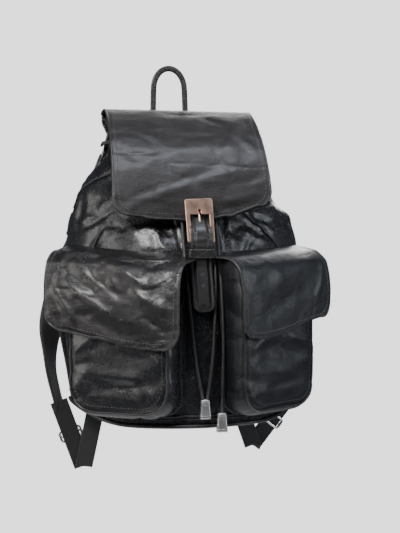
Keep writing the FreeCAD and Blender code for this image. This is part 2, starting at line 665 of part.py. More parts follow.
def make_buckle_tab():
    """The leather tab that loops round the buckle's pin and is sewn flat on the strap's end."""
    body = new_body("buckle_tab_body")
    pin, drop = cell("pin_out"), cell("pin_drop")
    front = "(%s + %s + %s)" % (pin, cell("pin_radius"), cell("tab_wall"))
    low = "-(%s + %s)" % (drop, cell("tab_reach"))
    sketch = new_sketch(body, "tab_side", "YZ_Plane")
    back = "(%s + 0.3)" % cell("strap_wall")
    draw(sketch, [("-%s" % back, "2"), ("-%s" % front, "2"), ("-%s" % front, low), ("-%s" % back, low)])
    pad(body, sketch, cell("tab_width"), both_ways=True)
    bore = circle_sketch(body, "tab_bore", "YZ_Plane", "-" + pin, "-" + drop,
                         "%s + %s" % (cell("pin_radius"), cell("pin_fit")))
    pocket(body, bore, "30", both_ways=True)
    keep_tilted(body, "buckle_tab")


def make_prong():
    body = new_body("buckle_prong_body")
    out, drop = cell("prong_out"), cell("prong_drop")
    eye = circle_sketch(body, "prong_eye", "YZ_Plane", "-" + out, "-" + drop,
                        cell("prong_eye_radius"))
    pad(body, eye, cell("prong_wall"), both_ways=True)
    lean = cell("prong_lean")
    half = "(%s / 2)" % cell("prong_wall")
    tongue = new_sketch(body, "prong_tongue", "YZ_Plane")
    end = "(%s + %s)" % (drop, cell("prong_length"))
    draw(tongue, [("-(%s + %s)" % (out, half), "-" + drop), ("-(%s + %s + %s)" % (out, lean, half), "-" + end),
                  ("-(%s + %s - %s)" % (out, lean, half), "-" + end), ("-(%s - %s)" % (out, half), "-" + drop)])
    pad(body, tongue, cell("prong_wall"), both_ways=True)
    bore = circle_sketch(body, "prong_bore", "YZ_Plane", "-" + out, "-" + drop,
                         "%s + %s" % (cell("prong_pin_radius"), cell("pin_fit")))
    pocket(body, bore, "10", both_ways=True)
    keep_tilted(body, "buckle_prong")


def make_closure_snap():
    """A magnetic stud on the strap's back and its socket on the front panel."""
    drop = "-(%s)" % cell("snap_drop")
    stud = new_body("closure_stud_body")
    disc = circle_sketch(stud, "stud_disc", "XZ_Plane", "0", drop, cell("snap_radius"),
                         "3.8 - %s" % cell("snap_wall"))
    pad(stud, disc, cell("snap_wall"))
    keep_tilted(stud, "closure_stud")
    socket = new_body("closure_socket_body")
    seat = circle_sketch(socket, "socket_disc", "XZ_Plane", "0", drop, cell("snap_radius") + " + 1",
                         "-20")
    pad(socket, seat, "20 + 3.8 - %s - %s" % (cell("snap_wall"), cell("snap_play")))
    place = strap_place()
    socket.Placement.Rotation = FreeCAD.Rotation(Vector(1, 0, 0), -value(cell("strap_tilt")))
    for axis, expression in zip("xyz", place):
        socket.setExpression(".Placement.Base." + axis, expression)
    keep(cut("closure_socket_solid", socket, form), "closure_socket")


# ---------------------------------------------------------------- front pockets

HANDS = (("left", -1), ("right", 1))


def turned(body, hand):
    """Turn a body about the vertical to face its pocket's way."""
    body.Placement.Rotation = FreeCAD.Rotation(Vector(0, 0, 1), hand * value(cell("facet_angle")))
    body.setExpression(".Placement.Rotation.Angle", "%d * %s" % (hand, cell("facet_angle")))
    return body


def across(hand, inner, outer):
    """From the inner end to the outer end across a pocket: its middle and its width."""
    middle = "%d * (%s - %s) / 2" % (hand, outer, inner)
    return middle, "(%s + %s)" % (outer, inner)


def side_block(name, hand, corners, inner, outer, arcs=None):
    """Pad a side outline across a pocket between its inner and outer ends."""
    body = new_body(name)
    middle, wide = across(hand, inner, outer)
    sketch = new_sketch(body, name + "_side", "YZ_Plane", middle)
    draw(sketch, corners, arcs)
    pad(body, sketch, wide, both_ways=True)
    return body


def pocket_side(inset, top):
    """A pocket's side outline, inset from the outside, open to the pouch behind it."""
    reach, mouth_reach = cell("pocket_reach"), cell("pocket_mouth_reach")
    floor = "(%s + %s)" % (cell("pocket_floor"), inset)
    return [("-60", floor), ("-(%s - 12 - %s)" % (reach, inset), floor),
            ("-(%s - %s)" % (reach, inset), "(%s + 12)" % floor),
            ("-(%s - %s)" % (reach, inset), "%s - 50" % cell("pocket_mouth")),
            ("-(%s - %s)" % (mouth_reach, inset), top), ("-60", top)]


def make_pockets():
    wall = cell("pocket_wall")
    under = below_base("under_pockets", cell("piping_height"))
    for name, hand in HANDS:
        inner, outer = cell("pocket_inner"), cell("pocket_outer")
        block = side_block("pocket_block_" + name, hand, pocket_side("0", cell("pocket_mouth")),
                           inner, outer, {1: "-14"})
        hollow = side_block("pocket_hollow_" + name, hand,
                            pocket_side(wall, "%s + 5" % cell("pocket_mouth")),
                            "%s - %s" % (inner, wall), "%s - %s" % (outer, wall), {1: "-14"})
        turned(block, hand)
        turned(hollow, hand)
        keep(cut("pocket_solid_" + name, block, form, hollow, under), "pocket_" + name)


def make_pocket_flaps():
    top, low = cell("pocket_flap_top"), cell("pocket_flap_low")
    root, reach, wall = cell("pocket_flap_root"), cell("pocket_flap_reach"), cell("pocket_flap_wall")
    outline = [("-" + root, top), ("-(%s - 18)" % reach, "%s - 5" % top), ("-(%s - 1)" % reach, "%s - 34" % top),
               ("-" + reach, low), ("-(%s - %s)" % (reach, wall), low),
               ("-(%s - 1 - %s)" % (reach, wall), "%s - 34" % top),
               ("-(%s - 18)" % reach, "%s - 5 - %s" % (top, wall)), ("-" + root, "%s - %s" % (top, wall))]
    for name, hand in HANDS:
        body = side_block("pocket_flap_body_" + name, hand, outline, cell("pocket_flap_inner"),
                          cell("pocket_flap_outer"), {1: "32", 5: "-(32 - %s)" % wall})
        bottom = value(low)
        round_edges(body, cell("pocket_flap_corner"), lambda edge: (
            edge.BoundBox.XLength < 0.01 and edge.BoundBox.ZLength < 0.01
            and edge.BoundBox.ZMax < bottom + 1))
        turn = "%d * %s" % (hand, cell("facet_angle"))
        keep(body, "pocket_flap_" + name, Vector(0, 0, 1), turn)


def make_pocket_snaps():
    level, radius = cell("pocket_snap_height"), cell("pocket_snap_radius")
    gap = "(%s - 0.6 - %s - %s)" % (cell("pocket_flap_reach"), cell("pocket_flap_wall"),
                                    cell("pocket_reach"))
    for name, hand in HANDS:
        x = "%d * -12" % hand
        turn = "%d * %s" % (hand, cell("facet_angle"))
        socket = new_body("pocket_socket_body_" + name)
        disc = circle_sketch(socket, "pocket_socket_disc_" + name, "XZ_Plane", x, level,
                             radius + " + 1", cell("pocket_reach"))
        pad(socket, disc, "(%s - 0.6) / 2" % gap)
        keep(socket, "pocket_socket_" + name, Vector(0, 0, 1), turn)
        stud = new_body("pocket_stud_body_" + name)
        face = circle_sketch(stud, "pocket_stud_disc_" + name, "XZ_Plane", x, level, radius,
                             "%s + (%s + 0.6) / 2" % (cell("pocket_reach"), gap))
        pad(stud, face, "(%s - 0.6) / 2" % gap)
        keep(stud, "pocket_stud_" + name, Vector(0, 0, 1), turn)


# ---------------------------------------------------------------- hanging loop and straps

def make_loop():
    body = new_body("grab_handle_body")
    outer = cell("loop_half_width")
    inner = "(%s - %s)" % (outer, cell("loop_strip"))
    foot = cell("loop_foot")
    hook = cell("hook_height")
    middle = cell("loop_offset")
    sketch = new_sketch(body, "loop_outline", "XZ_Plane")
    spring = "(%s - %s)" % (hook, inner)
    corners = [("%s - %s" % (middle, outer), foot), ("%s - %s" % (middle, inner), foot),
               ("%s - %s" % (middle, inner), spring), (middle, hook),
               ("%s + %s" % (middle, inner), spring), ("%s + %s" % (middle, inner), foot),
               ("%s + %s" % (middle, outer), foot), ("%s + %s" % (middle, outer), spring),
               (middle, "%s + %s" % (spring, outer)), ("%s - %s" % (middle, outer), spring)]
    draw(sketch, corners, {2: "-" + inner, 3: "-" + inner, 7: outer, 8: outer})
    pad(body, sketch, cell("loop_wall"), backwards=True)
    keep(body, "grab_handle")
    keep_slab("strap_anchor_patch", "-60", cell("loop_wall"), "%s + 4" % cell("loop_foot"), "120",
              cell("patch_wall"), "20")


SHOULDER_STATIONS = {
    # across, back, height, width: from the top patch down to the webbing
    "left": [(-43, 2, 336, 28), (-45, 2, 314, 28), (-60, 7, 286, 29), (-90, 13, 236, 30),
             (-118, 17, 184, 30), (-137, 18, 136, 30), (-146, 17, 96, 29), (-146, 14, 50, 26),
             (-139, 13.4, 20, 22), (-134, 13.1, 0, 20)],
    "right": [(43, 2, 336, 28), (45, 2, 314, 28), (55, 7, 286, 29), (79, 13, 236, 30),
              (104, 17, 184, 30), (122, 18, 136, 30), (132, 17, 96, 29), (139, 14, 50, 26),
              (140, 13.4, 24, 22), (138, 13.1, 6, 20)],
}

WEBBING_POINTS = {
    # across and height: strap's end, fold, sewn end on the base
    "left": [(-137, 14), (-109, -64), (-92, 14)],
    "right": [(143, 14), (93, -47), (72, 14)],
}


def make_shoulder_straps():
    for name, stations in SHOULDER_STATIONS.items():
        body = new_body("shoulder_strap_body_" + name)
        sections = []
        for i, (x, y, z, wide) in enumerate(stations):
            before = stations[max(i - 1, 0)]
            after = stations[min(i + 1, len(stations) - 1)]
            way = math.degrees(math.atan2(after[0] - before[0], after[2] - before[2]))
            sketch = new_sketch(body, "strap_%s_%d" % (name, i))
            sketch.AttachmentOffset = FreeCAD.Placement(
                Vector(x, y, z), FreeCAD.Rotation(Vector(0, 1, 0), way))
            half = "%s * %f / 2" % (cell("shoulder_strap_width"), wide / 28.0)
            thick = "%s / 2" % cell("shoulder_strap_wall")
            draw(sketch, [("-" + half, "-" + thick), (half, "-" + thick), (half, thick),
                          ("-" + half, thick)])
            sections.append(sketch)
        loft = body.newObject("PartDesign::AdditiveLoft", "strap_loft_" + name)
        loft.Profile = sections[0]
        loft.Sections = sections[1:]
        loft.Ruled = True
        keep(body, "shoulder_strap_" + name)


def leg(body, name, start, end, near):
    """One straight flat leg of webbing between two points, its near face at y = near."""
    start, end = Vector(start[0], start[1], 0), Vector(end[0], end[1], 0)
    side = Vector(end.y - start.y, start.x - end.x, 0).normalize()
    sketch = new_sketch(body, name, "XZ_Plane", "-(%s)" % near)
    half = cell("webbing_width") + " / 2"
    corners = []
    for point, way in ((start, 1), (end, 1), (end, -1), (start, -1)):
        corners.append(("%f + (%f) * %s" % (point.x, way * side.x, half),
                        "%f + (%f) * %s" % (point.y, way * side.y, half)))
    draw(sketch, corners)
    pad(body, sketch, cell("webbing_wall"), backwards=True)


def make_webbing():
    near = "(%s - %s / 2)" % (cell("webbing_back"), cell("webbing_wall"))
    far = "(%s + %s + %s)" % (near, cell("webbing_wall"), cell("fold_space"))
    for name, (top, fold, sewn) in WEBBING_POINTS.items():
        body = new_body("webbing_body_" + name)
        leg(body, "outer_leg_" + name, top, fold, far)
        leg(body, "inner_leg_" + name, sewn, fold, near)
        bridge = new_sketch(body, "bridge_" + name, "XZ_Plane", "-(%s)" % near)
        x, z = fold
        draw(bridge, [("%f" % (x - 7), "%f" % (z - 1)), ("%f" % (x + 7), "%f" % (z - 1)),
                      ("%f" % (x + 7), "%f" % (z + 2)), ("%f" % (x - 7), "%f" % (z + 2))])
        pad(body, bridge, "2 * %s + %s" % (cell("webbing_wall"), cell("fold_space")), backwards=True)
        keep(body, "webbing_" + name)


def make_anchor_tabs():
    far = "(%s - %s / 2)" % (cell("webbing_back"), cell("webbing_wall"))
    for name, points in WEBBING_POINTS.items():
        x, z = points[2]
        keep_slab("anchor_tab_" + name, "%f - 12" % x, "0", "%f - 10" % z, "24", far, "14")


def make_sliders():
    """A metal frame round the outer leg of webbing, with its bar in front."""
    for name, points in WEBBING_POINTS.items():
        top, fold = points[0], points[1]
        share = 0.5
        x = top[0] + (fold[0] - top[0]) * share
        z = top[1] + (fold[1] - top[1]) * share
        lean = math.degrees(math.atan2(top[0] - fold[0], top[1] - fold[1]))
        body = new_body("slider_body_" + name)
        half = "(%s / 2)" % cell("slider_width")
        deep = "(%s / 2)" % cell("slider_wall")
        outline = new_sketch(body, "slider_outline_" + name)
        draw(outline, [("-" + half, "-" + deep), (half, "-" + deep), (half, deep), ("-" + half, deep)])
        pad(body, outline, cell("slider_length"), both_ways=True)
        hole = new_sketch(body, "slider_hole_" + name)
        wide = "(%s / 2 + %s)" % (cell("webbing_width"), cell("slider_play"))
        thick = "(%s / 2 + %s)" % (cell("webbing_wall"), cell("slider_play"))
        draw(hole, [("-" + wide, "-" + thick), (wide, "-" + thick), (wide, thick), ("-" + wide, thick)])
        pocket(body, hole, "2 * " + cell("slider_length"), both_ways=True)
        window = new_sketch(body, "slider_window_" + name, "XZ_Plane")
        tall = "(%s / 2 - 2.5)" % cell("slider_length")
        draw(window, [("-" + wide, "-" + tall), (wide, "-" + tall), (wide, tall), ("-" + wide, tall)])
        pocket(body, window, "2 * " + cell("slider_wall"), both_ways=True)
        keep(body, "slider_" + name, Vector(0, 1, 0), "%f" % lean,
             ("%f" % x, "%s + %s + %s" % (cell("webbing_back"), cell("webbing_wall"),
                                          cell("fold_space")), "%f" % z))


# ---------------------------------------------------------------- build, check and write

make_pouch()
make_base()
make_lining()
make_mouth()
make_cords()
make_cord_ends()
make_top_flap()
make_strap()
make_keeper()
make_buckle_frame()
make_pins()
make_buckle_tab()
make_prong()
make_closure_snap()
make_pockets()
make_pocket_flaps()
make_pocket_snaps()
make_loop()
make_shoulder_straps()
make_webbing()
make_anchor_tabs()
make_sliders()
doc.recompute()

faults = [item.Name for item in doc.Objects if "Invalid" in item.State or "Error" in item.State]
if faults:
    raise RuntimeError("failed objects: " + ", ".join(faults))
for piece in finished:
    if piece.Shape.isNull() or not piece.Shape.isValid() or piece.Shape.Volume <= 0:
        raise RuntimeError(piece.Label + " has no valid solid")

os.makedirs("parts", exist_ok=True)
for piece in finished:
    piece.Shape.exportStep(os.path.join("parts", piece.Label + ".step"))
    box = piece.Shape.BoundBox
    print("%-24s %2d solid(s) %9.1f mm3  x %6.1f %6.1f  y %6.1f %6.1f  z %6.1f %6.1f" % (
        piece.Label, len(piece.Shape.Solids), piece.Shape.Volume, box.XMin, box.XMax,
        box.YMin, box.YMax, box.ZMin, box.ZMax))
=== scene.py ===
# The backpack's looks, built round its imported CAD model. Shapes are drawn in the bag's own layout
# in millimetres (z = 0 under the base, y = 0 on the back panel's outer face, -y to the front) and
# are moved into the frame as they become meshes.
import math

import bmesh
import bpy
import numpy as np
from mathutils import Matrix, Vector
from mathutils.bvhtree import BVHTree


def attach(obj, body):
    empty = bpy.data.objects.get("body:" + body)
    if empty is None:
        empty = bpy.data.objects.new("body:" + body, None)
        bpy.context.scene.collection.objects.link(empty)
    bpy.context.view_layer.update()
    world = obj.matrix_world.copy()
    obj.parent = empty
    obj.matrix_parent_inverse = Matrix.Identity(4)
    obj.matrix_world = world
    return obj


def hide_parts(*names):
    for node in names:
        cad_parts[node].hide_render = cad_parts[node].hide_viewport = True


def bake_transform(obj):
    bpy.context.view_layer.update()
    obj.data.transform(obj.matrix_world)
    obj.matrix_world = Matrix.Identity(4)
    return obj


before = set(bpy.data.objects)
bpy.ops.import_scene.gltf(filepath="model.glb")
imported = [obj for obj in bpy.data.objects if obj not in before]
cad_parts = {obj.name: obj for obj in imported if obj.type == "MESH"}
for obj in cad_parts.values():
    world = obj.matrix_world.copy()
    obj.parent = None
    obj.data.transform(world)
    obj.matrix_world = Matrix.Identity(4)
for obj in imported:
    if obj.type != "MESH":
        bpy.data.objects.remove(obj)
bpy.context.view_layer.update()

MM = 0.001
BACKDROP_SEEN, BACKDROP_LIT = 2.2, 0.09   # the backdrop's brightness as seen and as a light
POUCH_WALL, FLAP_WALL, POCKET_FLAP_WALL, HEM_WALL = 2.0, 2.3, 2.1, 1.1
SEAM_DEPTH, SEAM_ROLL, STITCH_OFFSET = 1.5, 0.55, 3.6
MOUTH_PULL, MOUTH_PULL_LEFT = 13.0, 7.0   # how far the mouth's sides draw in, and more on the left
SHIFT = np.array((6.0, -2.0, -396.0))


def frame_point(x, y, z):
    """A layout point in millimetres as a frame point in metres."""
    return tuple((np.array((x, y, z), float) + SHIFT) * MM)


# ---------------------------------------------------------------- numbers and noise

def smooth(low, high, x):
    t = np.clip((np.asarray(x, float) - low) / (high - low), 0, 1)
    return t * t * (3 - 2 * t)


def lattice(ix, iy, iz, seed):
    h = (ix * 374761393 + iy * 668265263 + iz * 1440662683 + seed * 974634777) & 0xFFFFFFFF
    h = ((h ^ (h >> 13)) * 1274126177) & 0xFFFFFFFF
    return ((h ^ (h >> 16)) & 0xFFFF) / 32767.5 - 1


def noise(points, size, seed=0):
    """Smooth noise from -1 to 1 at each point; size is the cell in millimetres, one or three."""
    q = np.asarray(points, float) / np.asarray(size, float)
    cell = np.floor(q).astype(np.int64)
    f = q - cell
    w = f * f * f * (f * (f * 6 - 15) + 10)
    total = np.zeros(q.shape[:-1])
    for dx in (0, 1):
        for dy in (0, 1):
            for dz in (0, 1):
                weight = ((w[..., 0] if dx else 1 - w[..., 0]) * (w[..., 1] if dy else 1 - w[..., 1])
                          * (w[..., 2] if dz else 1 - w[..., 2]))
                total += weight * lattice(cell[..., 0] + dx, cell[..., 1] + dy, cell[..., 2] + dz, seed)
    return total


def fractal(points, size, seed=0, octaves=3):
    total, gain = 0, 1.0
    for octave in range(octaves):
        total = total + gain * noise(points, np.asarray(size, float) / 2 ** octave, seed + 17 * octave)
        gain *= 0.5
    return total / (2 - 2 ** (1 - octaves))


def creased(points, size, width, seed=0):
    """1 along wandering lines, falling off to 0 beside them."""
    return np.exp(-(noise(points, size, seed) / width) ** 2)


def fold(a, b, start, end, width, ends=0.25):
    """1 on the line between two flat points, falling off beside it and towards its ends."""
    start, end = np.array(start, float), np.array(end, float)
    way = end - start
    t = ((a - start[0]) * way[0] + (b - start[1]) * way[1]) / (way @ way)
    near = np.clip(t, 0, 1)
    gap = np.hypot(a - start[0] - near * way[0], b - start[1] - near * way[1])
    return np.exp(-(gap / width) ** 2) * smooth(0, ends, near) * smooth(0, ends, 1 - near)


def blur(values, sigma, axis=0):
    """Gaussian filter along one axis; the ends are held."""
    reach = int(3 * sigma) + 1
    kernel = np.exp(-0.5 * (np.arange(-reach, reach + 1) / sigma) ** 2)
    kernel /= kernel.sum()
    values = np.moveaxis(np.asarray(values, float), axis, 0)
    padded = np.concatenate([np.repeat(values[:1], reach, 0), values, np.repeat(values[-1:], reach, 0)])
    out = sum(k * padded[i:i + len(values)] for i, k in enumerate(kernel))
    return np.moveaxis(out, 0, axis)


def resample(points, count=None, step=None):
    """The same polyline with points an equal distance apart."""
    points = np.asarray(points, float)
    along = np.concatenate([[0], np.cumsum(np.linalg.norm(np.diff(points, axis=0), axis=1))])
    if count is None:
        count = max(3, int(round(along[-1] / step)) + 1)
    wanted = np.linspace(0, along[-1], count)
    return np.stack([np.interp(wanted, along, points[:, k]) for k in range(points.shape[1])], 1)


def rounded(points, step=1.0, sigma=4):
    """A polyline with its corners smoothed; the ends stay."""
    fine = resample(points, step=step)
    soft = blur(fine, sigma)
    ease = smooth(0, 3 * sigma * step, np.minimum(np.arange(len(fine)), np.arange(len(fine))[::-1]) * step)
    return fine * (1 - ease[:, None]) + soft * ease[:, None]


def unit(v):
    return v / np.maximum(np.linalg.norm(v, axis=-1, keepdims=True), 1e-9)


# ---------------------------------------------------------------- meshes

def hold(obj, how):
    """Put a piece on a body; any other hold only bakes its transform in place."""
    if isinstance(how, str):
        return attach(obj, how)
    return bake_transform(obj)


def piece(name, verts, faces, material, how, slot=None, replaces=(), flat=None, thick=0.0,
          levels=0, weld=False):
    """A piece from layout vertices. flat holds each vertex's place on the flat material, in mm."""
    mesh = bpy.data.meshes.new(name)
    mesh.from_pydata(((np.asarray(verts, float) + SHIFT) * MM).tolist(), [], faces)
    if flat is not None:
        layer = mesh.attributes.new("flat", "FLOAT_VECTOR", "POINT")
        layer.data.foreach_set("vector", np.asarray(flat, np.float32).ravel())
    shape = bmesh.new()
    shape.from_mesh(mesh)
    if weld:
        bmesh.ops.remove_doubles(shape, verts=shape.verts, dist=0.02 * MM)
    if thick == 0:
        bmesh.ops.recalc_face_normals(shape, faces=shape.faces)
    shape.to_mesh(mesh)
    shape.free()
    mesh.polygons.foreach_set("use_smooth", [True] * len(mesh.polygons))
    obj = bpy.data.objects.new(name, mesh)
    bpy.context.scene.collection.objects.link(obj)
    mesh.materials.append(material)
    if thick:
        wall = obj.modifiers.new("wall", "SOLIDIFY")
        wall.thickness, wall.offset = thick * MM, -1
    if levels:
        soft = obj.modifiers.new("soft", "SUBSURF")
        soft.levels = soft.render_levels = levels
    hold(obj, how)
    if replaces:
        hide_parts(*replaces)
    return obj


def grid_faces(nu, nv, wrap=False, flip=False):
    faces = []
    for i in range(nu if wrap else nu - 1):
        for j in range(nv - 1):
            a, b = i * nv + j, ((i + 1) % nu) * nv + j
            faces.append((a, a + 1, b + 1, b) if flip else (a, b, b + 1, a + 1))
    return faces


class Skin:
    """A sheet of leather or cloth as a grid of points on its outer face."""

    def __init__(self, points, inside):
        self.p = np.array(points, float)
        self.inside = np.array(inside, float)
        self.update()

    def update(self):
        n = np.cross(np.gradient(self.p, axis=0), np.gradient(self.p, axis=1))
        n = unit(n)
        self.flip = np.mean(np.sum(n * (self.p - self.inside), -1)) < 0
        self.n = -n if self.flip else n

    def push(self, amount):
        self.p = self.p + self.n * np.asarray(amount)[..., None]
        self.update()
        return self

    def at(self, u, v, which=None):
        """Points, or other values of the grid, at float indices."""
        data = self.p if which is None else which
        u = np.clip(np.asarray(u, float), 0, data.shape[0] - 1.001)
        v = np.clip(np.asarray(v, float), 0, data.shape[1] - 1.001)
        i, j = u.astype(int), v.astype(int)
        f, g = (u - i)[..., None], (v - j)[..., None]
        return ((data[i, j] * (1 - f) + data[i + 1, j] * f) * (1 - g)
                + (data[i, j + 1] * (1 - f) + data[i + 1, j + 1] * f) * g)

    def find(self, target):
        """Float indices nearest to a layout point; a None coordinate is free."""
        gap = sum((self.p[..., k] - c) ** 2 for k, c in enumerate(target) if c is not None)
        return np.unravel_index(np.argmin(gap), gap.shape)

    def line(self, picks, step=1.5, sigma=3, lift=0.0):
        """A smooth line on the face through float indices: its points and their normals."""
        fine = resample(np.array(picks, float), count=400)
        fine = blur(fine, sigma * 4)
        points = self.at(fine[:, 0], fine[:, 1])
        normals = self.at(fine[:, 0], fine[:, 1], self.n)
        both = resample(np.concatenate([points, normals], 1), step=step)
        return both[:, :3] + unit(both[:, 3:]) * lift, unit(both[:, 3:])

    def build(self, name, material, how, thick, **rest):
        nu, nv = self.p.shape[:2]
        return piece(name, self.p.reshape(-1, 3), grid_faces(nu, nv, flip=self.flip), material, how,
                     thick=thick, **rest)


def sweep(path, side, profile, closed=False):
    """Vertices and faces of a closed profile (across, out) carried along a path. side is across."""
    path, profile = np.asarray(path, float), np.asarray(profile, float)
    if profile.ndim == 2:
        profile = np.repeat(profile[None], len(path), 0)
    way = np.gradient(path, axis=0)
    if closed:
        way = np.roll(path, -1, 0) - np.roll(path, 1, 0)
    way = unit(way)
    side = unit(side - way * np.sum(side * way, -1, keepdims=True))
    out = np.cross(way, side)
    verts = path[:, None] + side[:, None] * profile[..., 0:1] + out[:, None] * profile[..., 1:2]
    n, m = profile.shape[:2]
    faces = []
    for i in range(n if closed else n - 1):
        for j in range(m):
            a, b = i * m, ((i + 1) % n) * m
            faces.append((a + j, a + (j + 1) % m, b + (j + 1) % m, b + j))
    if not closed:
        faces += [tuple(range(m))[::-1], tuple((n - 1) * m + j for j in range(m))]
    return verts.reshape(-1, 3), faces


def circle(radius, count=12, squeeze=1.0):
    turn = np.arange(count) * 2 * math.pi / count
    return np.stack([np.cos(turn) * radius, np.sin(turn) * radius * squeeze], 1)


def rounded_box(wide, tall, corner, per=4):
    """A rounded rectangle as a closed profile."""
    points = []
    for k, (sx, sy) in enumerate(((1, 1), (-1, 1), (-1, -1), (1, -1))):
        for t in np.linspace(0, math.pi / 2, per):
            turn = t + k * math.pi / 2
            points.append((sx * (wide / 2 - corner) + corner * math.cos(turn),
                           sy * (tall / 2 - corner) + corner * math.sin(turn)))
    return np.array(points)


def any_side(path):
    """A vector across each point of a path that turns as little as it can."""
    way = unit(np.gradient(np.asarray(path, float), axis=0))
    side = np.cross(way[0], (0, 0, 1)) if abs(way[0][2]) < 0.9 else np.cross(way[0], (0, 1, 0))
    sides = []
    for w in way:
        side = side - w * (side @ w)
        side = side / np.linalg.norm(side)
        sides.append(side)
    return np.array(sides)


def tube(name, path, radius, material, how, closed=False, count=12, taper=True, **rest):
    """A piping or rod along a path; its open ends are drawn in."""
    path = np.asarray(path, float)
    size = np.full(len(path), float(radius))
    if taper and not closed:
        size[0] = size[-1] = radius * 0.55
    profile = np.array([circle(r, count) for r in size])
    verts, faces = sweep(path, any_side(path), profile, closed)
    return piece(name, verts, faces, material, how, **rest)


def merged(parts):
    """Several (vertices, faces) as one."""
    verts, faces, base = [], [], 0
    for v, f in parts:
        verts.append(np.asarray(v, float))
        faces += [tuple(k + base for k in face) for face in f]
        base += len(v)
    return np.concatenate(verts), faces


def stitches(name, runs, how, material, pitch=4.0, length=2.9, radius=0.36):
    """Rows of sewn stitches as small threads that dip into the leather at both ends."""
    along = np.array((-0.5, -0.34, 0, 0.34, 0.5)) * length
    size = np.array((0.45, 0.95, 1.05, 0.95, 0.45)) * radius
    lift = np.array((-0.75, 0.05, 0.4, 0.05, -0.75)) * radius
    turn = np.arange(6) * math.pi / 3
    parts = []
    for points, normals in runs:
        both = resample(np.concatenate([points, normals], 1), step=pitch)
        c, n = both[:, :3], unit(both[:, 3:])
        t = unit(np.gradient(c, axis=0))
        s = np.cross(t, n)
        ring = (c[:, None, None] + t[:, None, None] * along[None, :, None, None]
                + n[:, None, None] * lift[None, :, None, None]
                + (s[:, None, None] * np.cos(turn)[None, None, :, None]
                   + n[:, None, None] * np.sin(turn)[None, None, :, None]) * size[None, :, None, None])
        faces = []
        for k in range(len(c)):
            base = k * 30
            for r in range(4):
                for j in range(6):
                    a = base + r * 6
                    faces.append((a + j, a + (j + 1) % 6, a + 6 + (j + 1) % 6, a + 6 + j))
            faces += [tuple(base + j for j in range(6))[::-1], tuple(base + 24 + j for j in range(6))]
        parts.append((ring.reshape(-1, 3), faces))
    verts, faces = merged(parts)
    return piece(name, verts, faces, material, how)


# ---------------------------------------------------------------- materials

class Nodes:
    """Small helper round one material's node tree."""

    def __init__(self, name):
        self.material = bpy.data.materials.new(name)
        self.material.use_nodes = True
        self.tree = self.material.node_tree
        self.shader = next(n for n in self.tree.nodes if n.type == "BSDF_PRINCIPLED")
        self.place = self.add("ShaderNodeTexCoord").outputs["Object"]

    def add(self, kind, **values):
        node = self.tree.nodes.new(kind)
        for key, value in values.items():
            setattr(node, key, value)
        return node

    def join(self, source, target):
        self.tree.links.new(source, target)

    def put(self, node, **values):
        for key, value in values.items():
            socket = node.inputs[key.replace("_", " ")]
            if isinstance(value, bpy.types.NodeSocket):
                self.join(value, socket)
            else:
                socket.default_value = value
        return node

    def stretched(self, scale, place=None):
        node = self.add("ShaderNodeMapping")
        node.inputs["Scale"].default_value = scale
        self.join(place or self.place, node.inputs["Vector"])
        return node.outputs["Vector"]

    def noise(self, scale, detail=4, rough=0.55, place=None, kind="FBM"):
        node = self.add("ShaderNodeTexNoise", noise_type=kind)
        self.put(node, Scale=scale, Detail=detail, Roughness=rough, Vector=place or self.place)
        return node.outputs["Fac"]

    def cells(self, scale, feature="F1", place=None, output="Distance", random=1.0):
        node = self.add("ShaderNodeTexVoronoi", feature=feature)
        self.put(node, Scale=scale, Randomness=random, Vector=place or self.place)
        return node.outputs[output]

    def remap(self, value, low, high, to_low, to_high):
        node = self.add("ShaderNodeMapRange", clamp=True)
        self.put(node, Value=value, From_Min=low, From_Max=high, To_Min=to_low, To_Max=to_high)
        return node.outputs["Result"]

    def math(self, operation, a, b=0.0, c=0.0):
        node = self.add("ShaderNodeMath", operation=operation)
        for socket, value in zip(node.inputs, (a, b, c)):
            if isinstance(value, bpy.types.NodeSocket):
                self.join(value, socket)
            else:
                socket.default_value = value
        return node.outputs[0]

    def blend(self, share, a, b):
        node = self.add("ShaderNodeMix", data_type="RGBA")
        for place, value in ((0, share), (6, a), (7, b)):
            socket = node.inputs[place]
            if isinstance(value, bpy.types.NodeSocket):
                self.join(value, socket)
            else:
                socket.default_value = value if place == 0 else (*value, 1)
        return node.outputs[2]

    def bump(self, height, distance, strength=1.0, under=None):
        node = self.add("ShaderNodeBump")
        self.put(node, Height=height, Distance=distance, Strength=strength)
        if under is not None:
            self.join(under, node.inputs["Normal"])
        return node.outputs["Normal"]

    def finish(self, **values):
        self.put(self.shader, **values)
        return self.material


def rubbed_edges_and_highlight(nodes):
    """High on convex edges: partly leather rubbed lighter there, partly a painted highlight along the edges
    and ridges.
    """
    geometry = nodes.add("ShaderNodeNewGeometry")
    return nodes.remap(geometry.outputs["Pointiness"], 0.53, 0.62, 0.0, 1.0)
